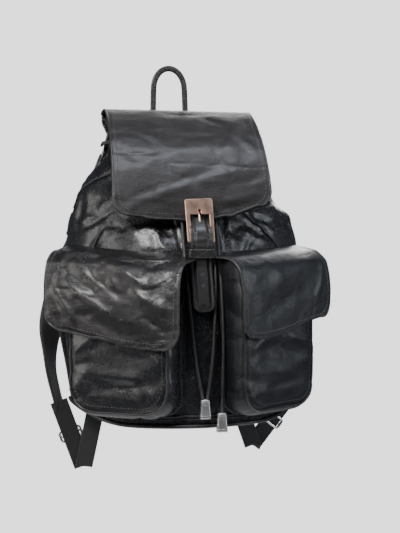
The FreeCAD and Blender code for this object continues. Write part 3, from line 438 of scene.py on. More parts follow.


# edge is the colour mixed in on convex edges: partly rubbed wear, partly a painted highlight
def leather(name, dark, light, edge, rough, grain=780.0, wrinkle=1.0, coat=0.25):
    m = Nodes(name)
    warp = m.add("ShaderNodeTexNoise")
    m.put(warp, Scale=300.0, Detail=2.0, Vector=m.place)
    mixed = m.add("ShaderNodeVectorMath", operation="MULTIPLY_ADD")
    m.join(warp.outputs["Color"], mixed.inputs[0])
    mixed.inputs[1].default_value = (0.0009,) * 3
    m.join(m.place, mixed.inputs[2])
    pebble = m.cells(grain, place=mixed.outputs[0])
    gaps = m.cells(grain, feature="DISTANCE_TO_EDGE", place=mixed.outputs[0])
    gaps = m.remap(gaps, 0.0, 0.09, 0.0, 1.0)
    large = m.noise(16.0, 5, 0.6)
    middle = m.noise(75.0, 6, 0.6)
    veins = m.noise(46.0, 5, 0.55)
    drawn = m.noise(120.0, 5, 0.6, place=m.stretched((1.0, 1.0, 3.2)))
    tone = m.remap(m.math("ADD", large, m.math("MULTIPLY", middle, 0.5)), 0.55, 0.95, 0.0, 1.0)
    colour = m.blend(tone, dark, light)
    colour = m.blend(m.math("MULTIPLY", m.remap(gaps, 0.0, 1.0, 1.0, 0.0), 0.5),
                     colour, tuple(c * 0.35 for c in dark))
    # convex edges and ridges turn towards the edge colour: rubbed wear and a painted edge highlight together
    colour = m.blend(m.math("MULTIPLY", rubbed_edges_and_highlight(m), 0.35), colour, edge)
    scuff = m.remap(m.noise(210.0, 6, 0.7), 0.45, 0.75, -0.02, 0.04)
    gloss = m.math("ADD", m.remap(middle, 0.3, 0.7, rough - 0.03, rough + 0.04), scuff)
    low = m.bump(m.math("ADD", drawn, m.math("MULTIPLY", veins, 0.35)), 0.0016 * wrinkle, 0.42)
    mid = m.bump(m.noise(260.0, 6, 0.65), 0.0005, 0.5, low)
    fine = m.bump(m.math("ADD", gaps, m.math("MULTIPLY", pebble, -0.6)), 0.00012, 0.6, mid)
    m.shader.inputs["Specular IOR Level"].default_value = 0.5
    m.shader.inputs["Coat Roughness"].default_value = 0.22
    return m.finish(Base_Color=colour, Roughness=gloss, Normal=fine, Coat_Weight=coat)


def woven(name, dark, light, pitch, rough, sheen=0.2, twill=True):
    """Narrow webbing; its threads follow the piece's own flat coordinates, in millimetres."""
    m = Nodes(name)
    flat = m.add("ShaderNodeAttribute", attribute_name="flat").outputs["Vector"]
    parts = m.add("ShaderNodeSeparateXYZ")
    m.join(flat, parts.inputs[0])
    across, along = parts.outputs[0], parts.outputs[1]
    lean = m.math("MULTIPLY", across, 1.0 if twill else 0.0)
    rows = m.math("SINE", m.math("MULTIPLY", m.math("ADD", along, lean), 2 * math.pi / pitch))
    warp = m.math("SINE", m.math("MULTIPLY", across, 2 * math.pi / (pitch * 0.75)))
    weave = m.math("ADD", m.math("MULTIPLY", rows, 0.5), m.math("MULTIPLY", warp, 0.5))
    fuzz = m.noise(900.0, 4, 0.7)
    tone = m.math("ADD", m.math("MULTIPLY", weave, 0.4), fuzz)
    colour = m.blend(m.remap(tone, 0.1, 1.0, 0.0, 1.0), dark, light)
    normal = m.bump(weave, 0.00018, 0.7, m.bump(fuzz, 0.0001, 0.4))
    m.shader.inputs["Sheen Weight"].default_value = sheen
    m.shader.inputs["Sheen Roughness"].default_value = 0.4
    return m.finish(Base_Color=colour, Roughness=rough, Normal=normal)


def metal(name, colour, dark, rough, scratch=900.0, patchy=0.55):
    m = Nodes(name)
    brushed = m.noise(scratch, 4, 0.6, place=m.stretched((6.0, 6.0, 0.35)))
    blotch = m.noise(130.0, 5, 0.65)
    tone = m.blend(m.remap(blotch, 0.35, 0.75, 0.0, patchy), colour, dark)
    gloss = m.math("ADD", m.remap(blotch, 0.3, 0.7, rough - 0.05, rough + 0.09),
                   m.math("MULTIPLY", brushed, 0.08))
    normal = m.bump(brushed, 0.00003, 0.5, m.bump(blotch, 0.0002, 0.25))
    m.shader.inputs["Metallic"].default_value = 1.0
    return m.finish(Base_Color=tone, Roughness=gloss, Normal=normal)


def thread_material(name, dark, light):
    m = Nodes(name)
    ply = m.math("SINE", m.math("MULTIPLY", m.noise(2600.0, 2), 9.0))
    colour = m.blend(m.remap(m.noise(700.0, 3), 0.3, 0.7, 0.0, 1.0), dark, light)
    return m.finish(Base_Color=colour, Roughness=0.52, Normal=m.bump(ply, 0.00005, 0.5))


def cloth_material(name, dark, light):
    m = Nodes(name)
    threads = m.add("ShaderNodeTexWave", wave_type="BANDS", bands_direction="X")
    m.put(threads, Scale=520.0, Distortion=1.5, Detail=2.0, Vector=m.place)
    crossing = m.add("ShaderNodeTexWave", wave_type="BANDS", bands_direction="Z")
    m.put(crossing, Scale=520.0, Distortion=1.5, Detail=2.0, Vector=m.place)
    weave = m.math("MULTIPLY", threads.outputs["Fac"], crossing.outputs["Fac"])
    colour = m.blend(m.remap(m.math("ADD", weave, m.noise(60.0)), 0.3, 1.2, 0.0, 1.0), dark, light)
    m.shader.inputs["Sheen Weight"].default_value = 0.3
    return m.finish(Base_Color=colour, Roughness=0.8, Normal=m.bump(weave, 0.0001, 0.5))


BODY_LEATHER = leather("body_leather", (0.0034, 0.0037, 0.0049), (0.0085, 0.0087, 0.0105),
                       (0.085, 0.083, 0.086), 0.27, wrinkle=0.5, coat=0.22)
FLAP_LEATHER = leather("flap_leather", (0.0080, 0.0060, 0.0060), (0.0165, 0.0122, 0.0118),
                       (0.10, 0.085, 0.078), 0.40, wrinkle=0.45, coat=0.08)
LEFT_LEATHER = leather("left_leather", (0.0060, 0.0056, 0.0058), (0.015, 0.0132, 0.013),
                       (0.11, 0.10, 0.095), 0.30, wrinkle=0.8, coat=0.20)
RIGHT_LEATHER = leather("right_leather", (0.0036, 0.0041, 0.0060), (0.0085, 0.0093, 0.0125),
                        (0.08, 0.08, 0.085), 0.38, wrinkle=0.35, coat=0.08)
TRIM_LEATHER = leather("trim_leather", (0.0065, 0.0062, 0.0066), (0.0145, 0.0134, 0.0136),
                       (0.13, 0.122, 0.118), 0.34, grain=1500.0, wrinkle=0.25, coat=0.22)
LACE_LEATHER = leather("lace_leather", (0.011, 0.0105, 0.0105), (0.026, 0.024, 0.023),
                       (0.12, 0.115, 0.11), 0.42, grain=1300.0, wrinkle=0.25, coat=0.1)
WEBBING = woven("webbing_weave", (0.0032, 0.0033, 0.0036), (0.013, 0.013, 0.014), 1.5, 0.55)
SHOULDER = woven("shoulder_weave", (0.0030, 0.0031, 0.0034), (0.0105, 0.0100, 0.0108), 1.1, 0.44, 0.15)
LINING = cloth_material("lining_weave", (0.012, 0.012, 0.014), (0.035, 0.034, 0.038))
BOARD = cloth_material("board_cover", (0.010, 0.010, 0.011), (0.028, 0.027, 0.029))
THREAD = thread_material("thread", (0.040, 0.037, 0.036), (0.105, 0.098, 0.094))
COPPER = metal("buckle_copper", (0.95, 0.62, 0.46), (0.91, 0.58, 0.43), 0.28, patchy=0.2)
NICKEL = metal("satin_nickel", (0.66, 0.65, 0.63), (0.44, 0.43, 0.42), 0.36)
CHROME = metal("slider_chrome", (0.80, 0.80, 0.80), (0.58, 0.58, 0.59), 0.16)


# ---------------------------------------------------------------- camera, stage and light

AZIMUTH, ELEVATION, ROLL = (math.radians(a) for a in (-11.7, -0.5, -0.5))
TARGET = Vector(frame_point(13.4, -75, 166.5))
DISTANCE = 1.0647


def make_camera():
    back = Vector((math.sin(AZIMUTH) * math.cos(ELEVATION),
                   -math.cos(AZIMUTH) * math.cos(ELEVATION), math.sin(ELEVATION)))
    across = Vector((0, 0, 1)).cross(back).normalized()
    up = back.cross(across)
    right = across * math.cos(ROLL) + up * math.sin(ROLL)
    top = up * math.cos(ROLL) - across * math.sin(ROLL)
    camera = bpy.data.objects.new("camera", bpy.data.cameras.new("camera"))
    camera.data.lens = 65.4
    camera.data.sensor_width = 36
    turn = Matrix((right, top, back)).transposed().to_4x4()
    camera.matrix_world = Matrix.Translation(TARGET + back * DISTANCE) @ turn
    bpy.context.scene.collection.objects.link(camera)
    bpy.context.scene.camera = camera


def area_light(name, place, aim, wide, tall, power, colour=(1, 1, 1)):
    light = bpy.data.lights.new(name, "AREA")
    light.shape, light.size, light.size_y = "RECTANGLE", wide, tall
    light.energy, light.color = power, colour
    obj = bpy.data.objects.new(name, light)
    obj.location = place
    obj.rotation_mode = "QUATERNION"
    obj.rotation_quaternion = (Vector(place) - Vector(aim)).to_track_quat("Z", "Y")
    bpy.context.scene.collection.objects.link(obj)


def make_stage():
    """A pale floor well under the hanging bag, pale surroundings and soft lamps."""
    rings, spokes, radius, level = 5, 64, 0.62, -0.80
    verts = [(0, 0, level)]
    for r in range(1, rings + 1):
        for s in range(spokes):
            turn = 2 * math.pi * s / spokes
            verts.append((radius * r / rings * math.cos(turn), radius * r / rings * math.sin(turn) - 0.07,
                          level - 0.02 * (r / rings) ** 6))
    faces = [(0, 1 + s, 1 + (s + 1) % spokes) for s in range(spokes)]
    for r in range(rings - 1):
        for s in range(spokes):
            a, b = 1 + r * spokes, 1 + (r + 1) * spokes
            faces.append((a + s, b + s, b + (s + 1) % spokes, a + (s + 1) % spokes))
    mesh = bpy.data.meshes.new("floor")
    mesh.from_pydata(verts, [], faces)
    floor = bpy.data.objects.new("floor", mesh)
    bpy.context.scene.collection.objects.link(floor)
    m = Nodes("floor_paint")
    tone = m.blend(m.noise(5.0, 3), (0.80, 0.80, 0.81), (0.84, 0.84, 0.85))
    mesh.materials.append(m.finish(Base_Color=tone, Roughness=0.7))
    world = bpy.data.worlds.new("room")
    bpy.context.scene.world = world
    world.use_nodes = True
    tree = world.node_tree
    tree.nodes.clear()
    out = tree.nodes.new("ShaderNodeOutputWorld")
    mix = tree.nodes.new("ShaderNodeMixShader")
    seen = tree.nodes.new("ShaderNodeBackground")
    seen.inputs["Color"].default_value = (0.93, 0.935, 0.96, 1)
    seen.inputs["Strength"].default_value = BACKDROP_SEEN
    lit = tree.nodes.new("ShaderNodeBackground")
    lit.inputs["Color"].default_value = (0.80, 0.86, 1.0, 1)
    lit.inputs["Strength"].default_value = BACKDROP_LIT
    path = tree.nodes.new("ShaderNodeLightPath")
    tree.links.new(path.outputs["Is Camera Ray"], mix.inputs[0])
    tree.links.new(lit.outputs[0], mix.inputs[1])
    tree.links.new(seen.outputs[0], mix.inputs[2])
    tree.links.new(mix.outputs[0], out.inputs[0])
    middle = (0, -0.08, -0.22)
    area_light("key", (-0.95, -1.25, 0.75), middle, 0.5, 0.4, 30, (1.0, 0.98, 0.97))
    area_light("ceiling", (0.1, -0.62, 1.25), middle, 0.9, 0.35, 17, (0.84, 0.90, 1.0))
    area_light("side", (1.25, -0.7, 0.1), middle, 0.5, 1.1, 9, (0.90, 0.95, 1.0))
    area_light("left_edge", (-1.3, -0.1, -0.05), middle, 0.5, 1.1, 8, (1.0, 0.97, 0.93))
    area_light("behind", (0.5, 1.4, 0.6), middle, 1.0, 1.0, 20)


make_camera()
make_stage()


# ---------------------------------------------------------------- cords

CORD_ROUTES = {
    "left": [(-15, -74, 308), (-15, -81, 304), (-15, -89.5, 286), (-15, -103, 264),
             (-15.2, -113.5, 242), (-15.6, -121.8, 220), (-15.8, -133, 192), (-15.5, -144, 160),
             (-12.5, -151, 124), (-10.5, -153.5, 88), (-6, -154, 54), (-0.9, -153.5, 30)],
    "middle": [(8, -74, 308), (9.5, -81, 304), (12, -89.5, 286), (14, -103, 264),
               (15, -113.5, 242), (15.8, -121.8, 220), (16, -133, 192), (15.6, -144, 160),
               (13.5, -151, 124), (11, -153.5, 88), (7.5, -154, 54), (3.4, -153.5, 30)],
    "right": [(19, -74, 308), (19.5, -81, 304), (20.2, -89.5, 286), (20.6, -103, 264),
              (20.8, -113.5, 242), (21, -121.8, 220), (21, -133, 192), (20.5, -144, 160),
              (20.8, -151, 124), (21, -153.5, 88), (20, -154.5, 54), (18.5, -154, 16)],
}
CORD_DIAMETER = 3.4


def make_cords():
    """The three hanging ends of the drawstring, each on its CAD route."""
    cords = {}
    for name, route in CORD_ROUTES.items():
        curve = bpy.data.curves.new("drawstring_cord_" + name, "CURVE")
        curve.dimensions = "3D"
        spline = curve.splines.new("NURBS")
        spline.points.add(len(route) - 1)
        for point, place in zip(spline.points, route):
            point.co = (*frame_point(*place), 1)
        spline.order_u = 3
        spline.use_endpoint_u = True
        spline.resolution_u = 8
        curve.bevel_depth = CORD_DIAMETER / 2 * MM
        curve.bevel_resolution = 4
        curve.use_fill_caps = True
        curve.materials.append(LACE_LEATHER)
        obj = bpy.data.objects.new("drawstring_cord_" + name, curve)
        bpy.context.scene.collection.objects.link(obj)
        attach(obj, "pouch")
        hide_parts("drawstring_%s_tail" % name)
        cords[name] = obj
    return cords


def cord_end(name, x, y, top):
    """A flared metal end: a soft trapezoid, wider below, with a lip and a slot at its top."""
    drop = np.array((0.6, 0.3, 0, -0.2, -1.2, -5, -12, -17.6, -18.6, -19, -19))
    half = np.array((2.4, 3.3, 3.9, 4.3, 4.4, 4.65, 5.2, 5.55, 5.4, 4.9, 4.0))
    deep = np.array((1.5, 1.9, 2.2, 2.5, 2.6, 2.75, 3.15, 3.35, 3.2, 2.8, 2.2))
    path = np.stack([np.full(len(drop), x), np.full(len(drop), y),
                     top + drop - 0.001 * np.arange(len(drop))], 1)
    profile = np.array([rounded_box(2 * a, 2 * b, min(1.5, b * 0.75)) for a, b in zip(half, deep)])
    body = sweep(path, np.tile((1.0, 0, 0), (len(path), 1)), profile)
    groove = []
    for z, a, b in ((top - 2.6, 4.62, 2.75), (top - 15.9, 5.62, 3.42)):
        loop = rounded_box(2 * a, 2 * b, 1.4, 6)
        ring = np.stack([x + loop[:, 0], y + loop[:, 1], np.full(len(loop), z)], 1)
        groove.append(sweep(ring, np.tile((0, 0, 1.0), (len(ring), 1)), circle(0.28, 6), closed=True))
    slot = sweep(np.array([(x - 1.9, y - 2.55, top - 5.6), (x + 1.9, y - 2.55, top - 5.6)]),
                 np.tile((0, 0, 1.0), (2, 1)), rounded_box(1.1, 0.5, 0.2))
    verts, faces = merged([body, *groove, slot])
    return piece("metal_end_" + name, verts, faces, NICKEL, "pouch", slot="nickel",
                 replaces=["cord_end_" + name])


cords = make_cords()
end_left = cord_end("left", 1.25, -153.5, 30)
end_right = cord_end("right", 18.5, -154, 16)


# ---------------------------------------------------------------- pouch

HEIGHTS = np.array((0, 28, 52, 76, 100, 124, 148, 172, 190, 208, 220, 232, 244, 256, 268, 280, 292, 304, 322))
HALF_WIDTHS = np.array((121, 124.9, 128.7, 132.4, 135.2, 136.3, 135.4, 132.1, 128, 122.6, 118.3, 113.6, 108.6,
                        103.4, 98.2, 93.1, 88.4, 84.3, 80))
DEPTHS = np.array((142, 146.4, 147.9, 147.6, 145.9, 142.9, 138.6, 133, 128, 122, 117.5, 112.5, 107, 100.8, 94,
                   86.6, 78.3, 69.2, 54))
RIM, BASE_FLAT, BASE_REACH, BASE_RISE = 322.0, 70.0, 142.0, 34.0
COLUMNS, ROWS = 250, 112


def base_height(x):
    """How high the base's curve is at x."""
    run = BASE_REACH - BASE_FLAT
    radius = (run * run + BASE_RISE * BASE_RISE) / (2 * BASE_RISE)
    over = np.clip(np.abs(x) - BASE_FLAT, 0, radius * 0.99)
    return radius - np.sqrt(radius * radius - over * over)


def section(z, count=COLUMNS):
    """The pouch's outline at a height, from the back left corner round the front to the right."""
    wide, deep = np.interp(z, HEIGHTS, HALF_WIDTHS), np.interp(z, HEIGHTS, DEPTHS)
    side = 30 - 16 * smooth(250, 322, z)
    sag = deep - side
    radius = (wide * wide + sag * sag) / (2 * sag)
    half = math.asin(min(1.0, wide / radius))
    if sag > radius:
        half = math.pi - half
    turn = np.linspace(-half, half, 160)
    arc = np.stack([radius * np.sin(turn), -(deep - radius) - radius * np.cos(turn)], 1)
    outline = np.concatenate([[(-wide, -0.4)], [(-wide, -side * 0.5)], arc,
                              [(wide, -side * 0.5)], [(wide, -0.4)]])
    fine = resample(outline, count=600)
    soft = blur(fine, 9)
    ends = smooth(0, 30, np.minimum(np.arange(600), np.arange(600)[::-1]))[:, None]
    return resample(fine * (1 - ends) + soft * ends, count=count)


def pouch_surface(low=2.0, high=RIM, rows=ROWS):
    levels = np.arange(0, RIM + 1, 2.0)
    table = np.array([section(z) for z in levels])
    table = blur(table, 3, axis=0)
    foot = base_height(table[8, :, 0]) + low
    share = np.linspace(0, 1, rows)
    z = foot[:, None] + share[None] * (high - foot[:, None])
    k = np.clip(z / 2.0, 0, len(levels) - 1.001)
    i = k.astype(int)
    f = (k - i)[..., None]
    column = np.arange(COLUMNS)[:, None]
    flat = table[i, column] * (1 - f) + table[i + 1, column] * f
    return np.concatenate([flat, z[..., None]], -1)


def make_shell():
    shell = Skin(pouch_surface(), (0, -60, 160))
    x, y, z = (shell.p[..., k] for k in range(3))
    u = np.linspace(-1, 1, COLUMNS)[:, None] * np.ones_like(x)
    along = np.cumsum(np.linalg.norm(np.diff(shell.p, axis=0, prepend=shell.p[:1]), axis=-1), 0)
    left, right = smooth(0.38, 0.85, -u), smooth(0.38, 0.85, u)
    amount = left * (8.5 * np.exp(-((z - 250) / 26) ** 2) + 4 * np.exp(-((z - 215) / 18) ** 2))
    amount += right * (11.5 * np.exp(-((z - 196) / 30) ** 2) + 6 * np.exp(-((z - 222) / 14) ** 2))
    front = smooth(0.62, 0.3, np.abs(u))
    amount += front * 2.5 * np.exp(-((z - 205) / 16) ** 2) * noise(shell.p, (34, 60, 60), 5)
    near_mouth = smooth(236, 316, z)
    phase = along / 14.5 * 2 * math.pi + 1.6 * noise(shell.p, (40, 40, 80), 3)
    amount += near_mouth ** 1.6 * 2.6 * (np.abs(np.cos(phase / 2)) - 0.6)
    amount += smooth(178, 262, z) * smooth(330, 250, z) * 2.2 * np.cos(phase / 3.4 + 0.8) * (
        0.6 + 0.6 * noise(shell.p, (50, 50, 70), 9))
    upper = smooth(150, 200, z)
    amount += fractal(shell.p, (52, 52, 34), 21) * (1.1 + 1.9 * upper)
    amount -= creased(shell.p + 14 * noise(shell.p, 55, 33)[..., None], (46, 46, 27), 0.14, 41) * (
        0.7 + 1.1 * upper)
    amount += creased(shell.p + 10 * noise(shell.p, 40, 35)[..., None], (60, 60, 22), 0.11, 57) * (
        0.25 + 1.0 * upper)
    for start, end, width, deep in (
            ((-102, 253), (-120, 197), 3.2, -3.0), ((-110, 262), (-124, 214), 4.5, 2.2),
            ((-84, 224), (-118, 205), 3.0, -2.2), ((-92, 214), (-60, 200), 4.0, -2.4),
            ((-100, 199), (-56, 205), 6.0, 2.6), ((64, 226), (100, 206), 3.2, -3.0),
            ((70, 214), (112, 196), 4.6, 2.8), ((56, 214), (86, 197), 2.6, -2.6),
            ((48, 205), (90, 188), 3.4, 2.2),
            ((24, 216), (52, 196), 4.0, -1.8), ((-40, 212), (-18, 190), 4.5, -1.6)):
        amount += deep * fold(x, z, start, end, width) * smooth(-0.5, -12, y)
    drawn = smooth(276, 318, z) * smooth(0.30, 0.75, np.abs(u))
    shell.p[..., 0] -= np.sign(x) * (MOUTH_PULL + MOUTH_PULL_LEFT * (x < 0)) * drawn
    shell.update()
    shell.push(amount * smooth(0, 4, np.minimum(np.arange(COLUMNS), np.arange(COLUMNS)[::-1]))[:, None]
               * (0.25 + 0.75 * smooth(4, 26, z - base_height(x))))
    return shell


SHELL = make_shell()
SEAMS = {
    "side_left": [(-70, -72, 284), (-86, -51, 267), (-98, -40, 257), (-111, -27, 246), (-121, -6, 235)],
    "side_right": [(54, -108, 232), (68, -100, 220), (80, -93, 206), (93, -84, 190), (104, -73, 172),
                   (113, -60, 150), (117, -52, 120), (118, -46, 80), (113, -42, 30)],
    "side_left_low": [(-92, -82, 206), (-103, -72, 184), (-112, -62, 160), (-119, -50, 130), (-121, -44, 90),
                      (-119, -42, 55), (-113, -40, 24)],
    "middle_left": [(-30, None, 232), (-21, None, 205), (-17, None, 180), (-16.5, None, 130), (-17, None, 80),
                    (-17, None, 40), (-17, None, 6)],
    "middle_right": [(33, None, 232), (30, None, 205), (32, None, 172), (36, None, 120), (35, None, 85),
                     (31, None, 55), (24, None, 35), (12, None, 12)],
}


def find_front(skin, target):
    """The indices of a point on the front half of the shell."""
    x, y, z = target
    if y is not None:
        return skin.find(target)
    gap = (skin.p[..., 0] - x) ** 2 + (skin.p[..., 2] - z) ** 2 + np.where(skin.p[..., 1] > -60, 1e6, 0)
    return np.unravel_index(np.argmin(gap), gap.shape)


def press_seams():
    """Sink the leather into each seam, with a slight roll beside it."""
    depth = np.zeros(SHELL.p.shape[:2])
    lines = {}
    for name, route in SEAMS.items():
        picks = [find_front(SHELL, t) for t in route]
        lines[name] = picks
        points, _ = SHELL.line(picks, step=1.2)
        gap = np.full(depth.shape, 1e9)
        for p in points:
            gap = np.minimum(gap, np.sum((SHELL.p - p) ** 2, -1))
        gap = np.sqrt(gap)
        depth = np.minimum(depth, -SEAM_DEPTH * np.exp(-(gap / 2.0) ** 2))
        depth += SEAM_ROLL * np.exp(-((gap - 6.0) / 2.6) ** 2)
    SHELL.push(depth)
    return lines


SEAM_LINES = press_seams()
SHELL.build("pouch_leather", BODY_LEATHER, "pouch", POUCH_WALL, slot="leather",
            replaces=["front_panel", "side_panel_left", "side_panel_right"])


def beside(points, normals, gap):
    """The same line moved sideways on its surface."""
    side = np.cross(unit(np.gradient(points, axis=0)), normals)
    return points + side * gap, normals


def make_seams():
    runs = []
    for name, picks in SEAM_LINES.items():
        points, normals = SHELL.line(picks, step=1.2)
        if name.startswith("side"):
            tube("welt_" + name, points + normals * 0.6, 1.35, TRIM_LEATHER, "pouch", slot="piping")
        runs.append(beside(points, normals, STITCH_OFFSET))
        runs.append(beside(points, normals, -STITCH_OFFSET))
    stitches("pouch_stitching", runs, "pouch", THREAD)


make_seams()


def make_hem():
    """The mouth's gathered hem, which the drawstring runs in."""
    rows = 14
    low = np.interp(np.linspace(299, 323.5, rows), SHELL.p[COLUMNS // 2, :, 2], np.arange(ROWS))
    u = np.arange(COLUMNS)[:, None] * np.ones((1, rows))
    v = np.ones((COLUMNS, 1)) * low[None]
    points, normals = SHELL.at(u, v), SHELL.at(u, v, SHELL.n)
    normals[..., 2] *= 0.3
    normals = unit(normals)
    share = np.linspace(0, 1, rows)[None]
    roll = np.sqrt(np.clip(1 - (2 * share - 1) ** 4, 0, 1))
    along = np.cumsum(np.linalg.norm(np.diff(points[:, :1], axis=0, prepend=points[:1, :1]), axis=-1), 0)
    gather = np.abs(np.cos(along / 12.5 * math.pi + 1.2 * noise(points[:, :1], 35, 8)))
    pinch = np.exp(-((share - 0.42) / 0.16) ** 2)
    amount = 0.8 + roll * (3.6 + 1.6 * gather) - 0.7 * pinch * roll
    hem = Skin(points + normals * amount[..., None], (0, -60, 310))
    hem.p[..., 2] = 299 + 24.4 * share + 0.8 * gather * share
    hem.update()
    hem.build("mouth_hem", BODY_LEATHER, "pouch", HEM_WALL, slot="leather", replaces=["mouth_band"])
    runs = []
    for share_at in (0.12, 0.88):
        picks = [(k, share_at * (rows - 1)) for k in range(34, COLUMNS - 34, 3)]
        runs.append(hem.line(picks, sigma=0.5))
    stitches("hem_stitching", runs, "pouch", THREAD, pitch=3.6)
    rings = []
    for x in (-15, 8, 19):
        depth = 71.5 if abs(x) < 12 else 70.0
        ring = np.stack([x + 3.6 * np.cos(np.linspace(0, 2 * math.pi, 24, endpoint=False)),
                         np.full(24, -depth - 4.6),
                         308 + 3.6 * np.sin(np.linspace(0, 2 * math.pi, 24, endpoint=False))], 1)
        rings.append(sweep(ring, np.tile((0, 1.0, 0), (24, 1)), circle(1.05, 8, 0.9), closed=True))
    verts, faces = merged(rings)
    piece("eyelet_rings", verts, faces, NICKEL, "pouch", slot="nickel", replaces=["cord_eyelets"])


make_hem()


def make_lining():
    inner = Skin(SHELL.p[:, 3:] - SHELL.n[:, 3:] * 3.0, (0, -60, 160))
    inner.p = blur(blur(inner.p, 1.2, axis=0), 1.2, axis=1)
    inner.update()
    inner.build("lining_cloth", LINING, "pouch", 0.8, slot="lining", replaces=["lining"])
    rows, columns = 60, 40
    z = np.linspace(6, 320, rows)[None] * np.ones((columns, 1))
    half = np.interp(z, HEIGHTS, HALF_WIDTHS) - 5.5
    low = np.maximum(z, base_height(half * 0.98) + 4)
    x = np.linspace(-1, 1, columns)[:, None] * half
    y = -4.9 - 0.9 * noise(np.stack([x, z, x * 0], -1), 60, 77)
    back = Skin(np.stack([x, y, low], -1), (0, 400, 160))
    back.build("lining_back", LINING, "pouch", -0.7, slot="lining")


make_lining()


def make_back():
    """The flat back panel, a little padded between its sewn edges, and its top seam allowance."""
    columns, rows = 90, 120
    z = np.linspace(3, 343.4, rows)[None] * np.ones((columns, 1))
    half = np.where(z <= 322, np.interp(z, HEIGHTS, HALF_WIDTHS), 80 + 6 * smooth(318, 336, z))
    share = np.linspace(-1, 1, columns)[:, None]
    x = share * half
    z = z + (base_height(x) + 3 - 3) * smooth(120, 3, z)
    edge = np.minimum((1 - np.abs(share)) * half, np.minimum(z - 3, 343.4 - z))
    flat = np.stack([x, z, x * 0], -1)
    y = -0.4 + 1.5 * smooth(2, 26, edge) + 0.9 * fractal(flat, 70, 12) * smooth(4, 24, edge)
    y -= 0.9 * creased(flat + 12 * noise(flat, 60, 3)[..., None], (70, 34, 60), 0.10, 91)
    y = np.minimum(y, 0.4 + 1.6 * smooth(150, 80, z))
    skin = Skin(np.stack([x, y, z], -1), (0, -400, 160))
    skin.build("back_leather", BODY_LEATHER, "pouch", 3.2, slot="leather", replaces=["back_panel"])
    runs = []
    for k in (3.2, columns - 4.2):
        runs.append(skin.line([(k, v) for v in range(3, rows - 3, 4)], sigma=1))
    runs.append(skin.line([(k, 3) for k in range(4, columns - 4, 3)], sigma=1))
    runs.append(skin.line([(k, 106) for k in range(4, columns - 4, 3)], sigma=1))
    stitches("back_stitching", runs, "pouch", THREAD)
    for name, k, way in (("left", 0, -1), ("right", columns - 1, 1)):
        rim = skin.p[k, 2:104] + np.array((way * 0.8, -0.9, 0))
        tube("back_welt_" + name, rim, 1.5, TRIM_LEATHER, "pouch", slot="piping")


make_back()


def make_base():
    foot = SHELL.p[:, 0]
    columns, rows = 90, 50
    pick = np.linspace(0, COLUMNS - 1, columns).astype(int)
    edge = foot[pick]
    x = edge[:, 0]
    share = np.linspace(0, 1, rows)[None, :, None]
    back = np.stack([x * 0.985, np.full(columns, -0.6), base_height(x)], 1)
    # rows run from the back edge to the outline, so columns meet at both back corners
    points = back[:, None] * (1 - share) + edge[:, None] * share
    points[..., 2] = base_height(points[..., 0]) + 0.3 - 0.8 * smooth(
        0, 20, 12 * np.sin(math.pi * share[..., 0]))
    points[..., 2] = np.maximum(points[..., 2], 0.0)
    skin = Skin(points, (0, -60, 160))
    skin.build("base_leather", BODY_LEATHER, "pouch", 2.6, slot="leather", replaces=["base_panel"])
    low = foot + np.array((0, 0, -0.2))
    out = unit(SHELL.n[:, 0] * np.array((1, 1, 0)))
    first = blur(low + out * 1.1, 2)
    tube("base_welt", first, 2.1, TRIM_LEATHER, "pouch", slot="piping", replaces=["base_piping"])
    run = SHELL.line([(k, 2.6) for k in range(2, COLUMNS - 2, 3)], sigma=1)
    upper = SHELL.line([(k, 3.6) for k in range(2, COLUMNS - 2, 3)], sigma=1, lift=0.3)
    tube("base_welt_upper", upper[0], 1.0, TRIM_LEATHER, "pouch", slot="piping")
    stitches("base_stitching", [beside(*run, 0.8), beside(*upper, 3.4)], "pouch", THREAD)


make_base()


# ---------------------------------------------------------------- top flap

FLAP_CENTRE, FLAP_RADIUS = np.array((32.0, 198.0)), 162.0
FOLD_START, FOLD_END = (0, -25, 346), (0, -43, 342)
FLAP_HOLD = ("pouch", "flap", FOLD_START, FOLD_END)


def flap_profile(level):
    """The flap's side line (y, z) from the back seam over the fold down to a height."""
    start = math.asin((346 - FLAP_CENTRE[1]) / FLAP_RADIUS)
    end = math.asin((level - FLAP_CENTRE[1]) / FLAP_RADIUS)
    turn = np.linspace(start, end, 90)
    arc = np.stack([FLAP_CENTRE[0] - FLAP_RADIUS * np.cos(turn),
                    FLAP_CENTRE[1] + FLAP_RADIUS * np.sin(turn)], 1)
    lead = np.array([(0.9, 338.6), (1.0, 343), (-1.5, 345.6), (-8, 346.2), (-20, 346.0), (-30, 345.8)])
    line = resample(np.concatenate([lead, arc]), step=0.5)
    soft = blur(line, 9)
    ends = smooth(0, 26, np.minimum(np.arange(len(line)), np.arange(len(line))[::-1]))[:, None]
    return line * (1 - ends) + soft * ends


FLAP_LOW_X = (-88, -70, -40, -10, 10, 30, 50, 66, 84)
FLAP_LOW_Z = (219.5, 217.5, 215.8, 215.0, 215.6, 217.4, 221.0, 225.6, 231.5)


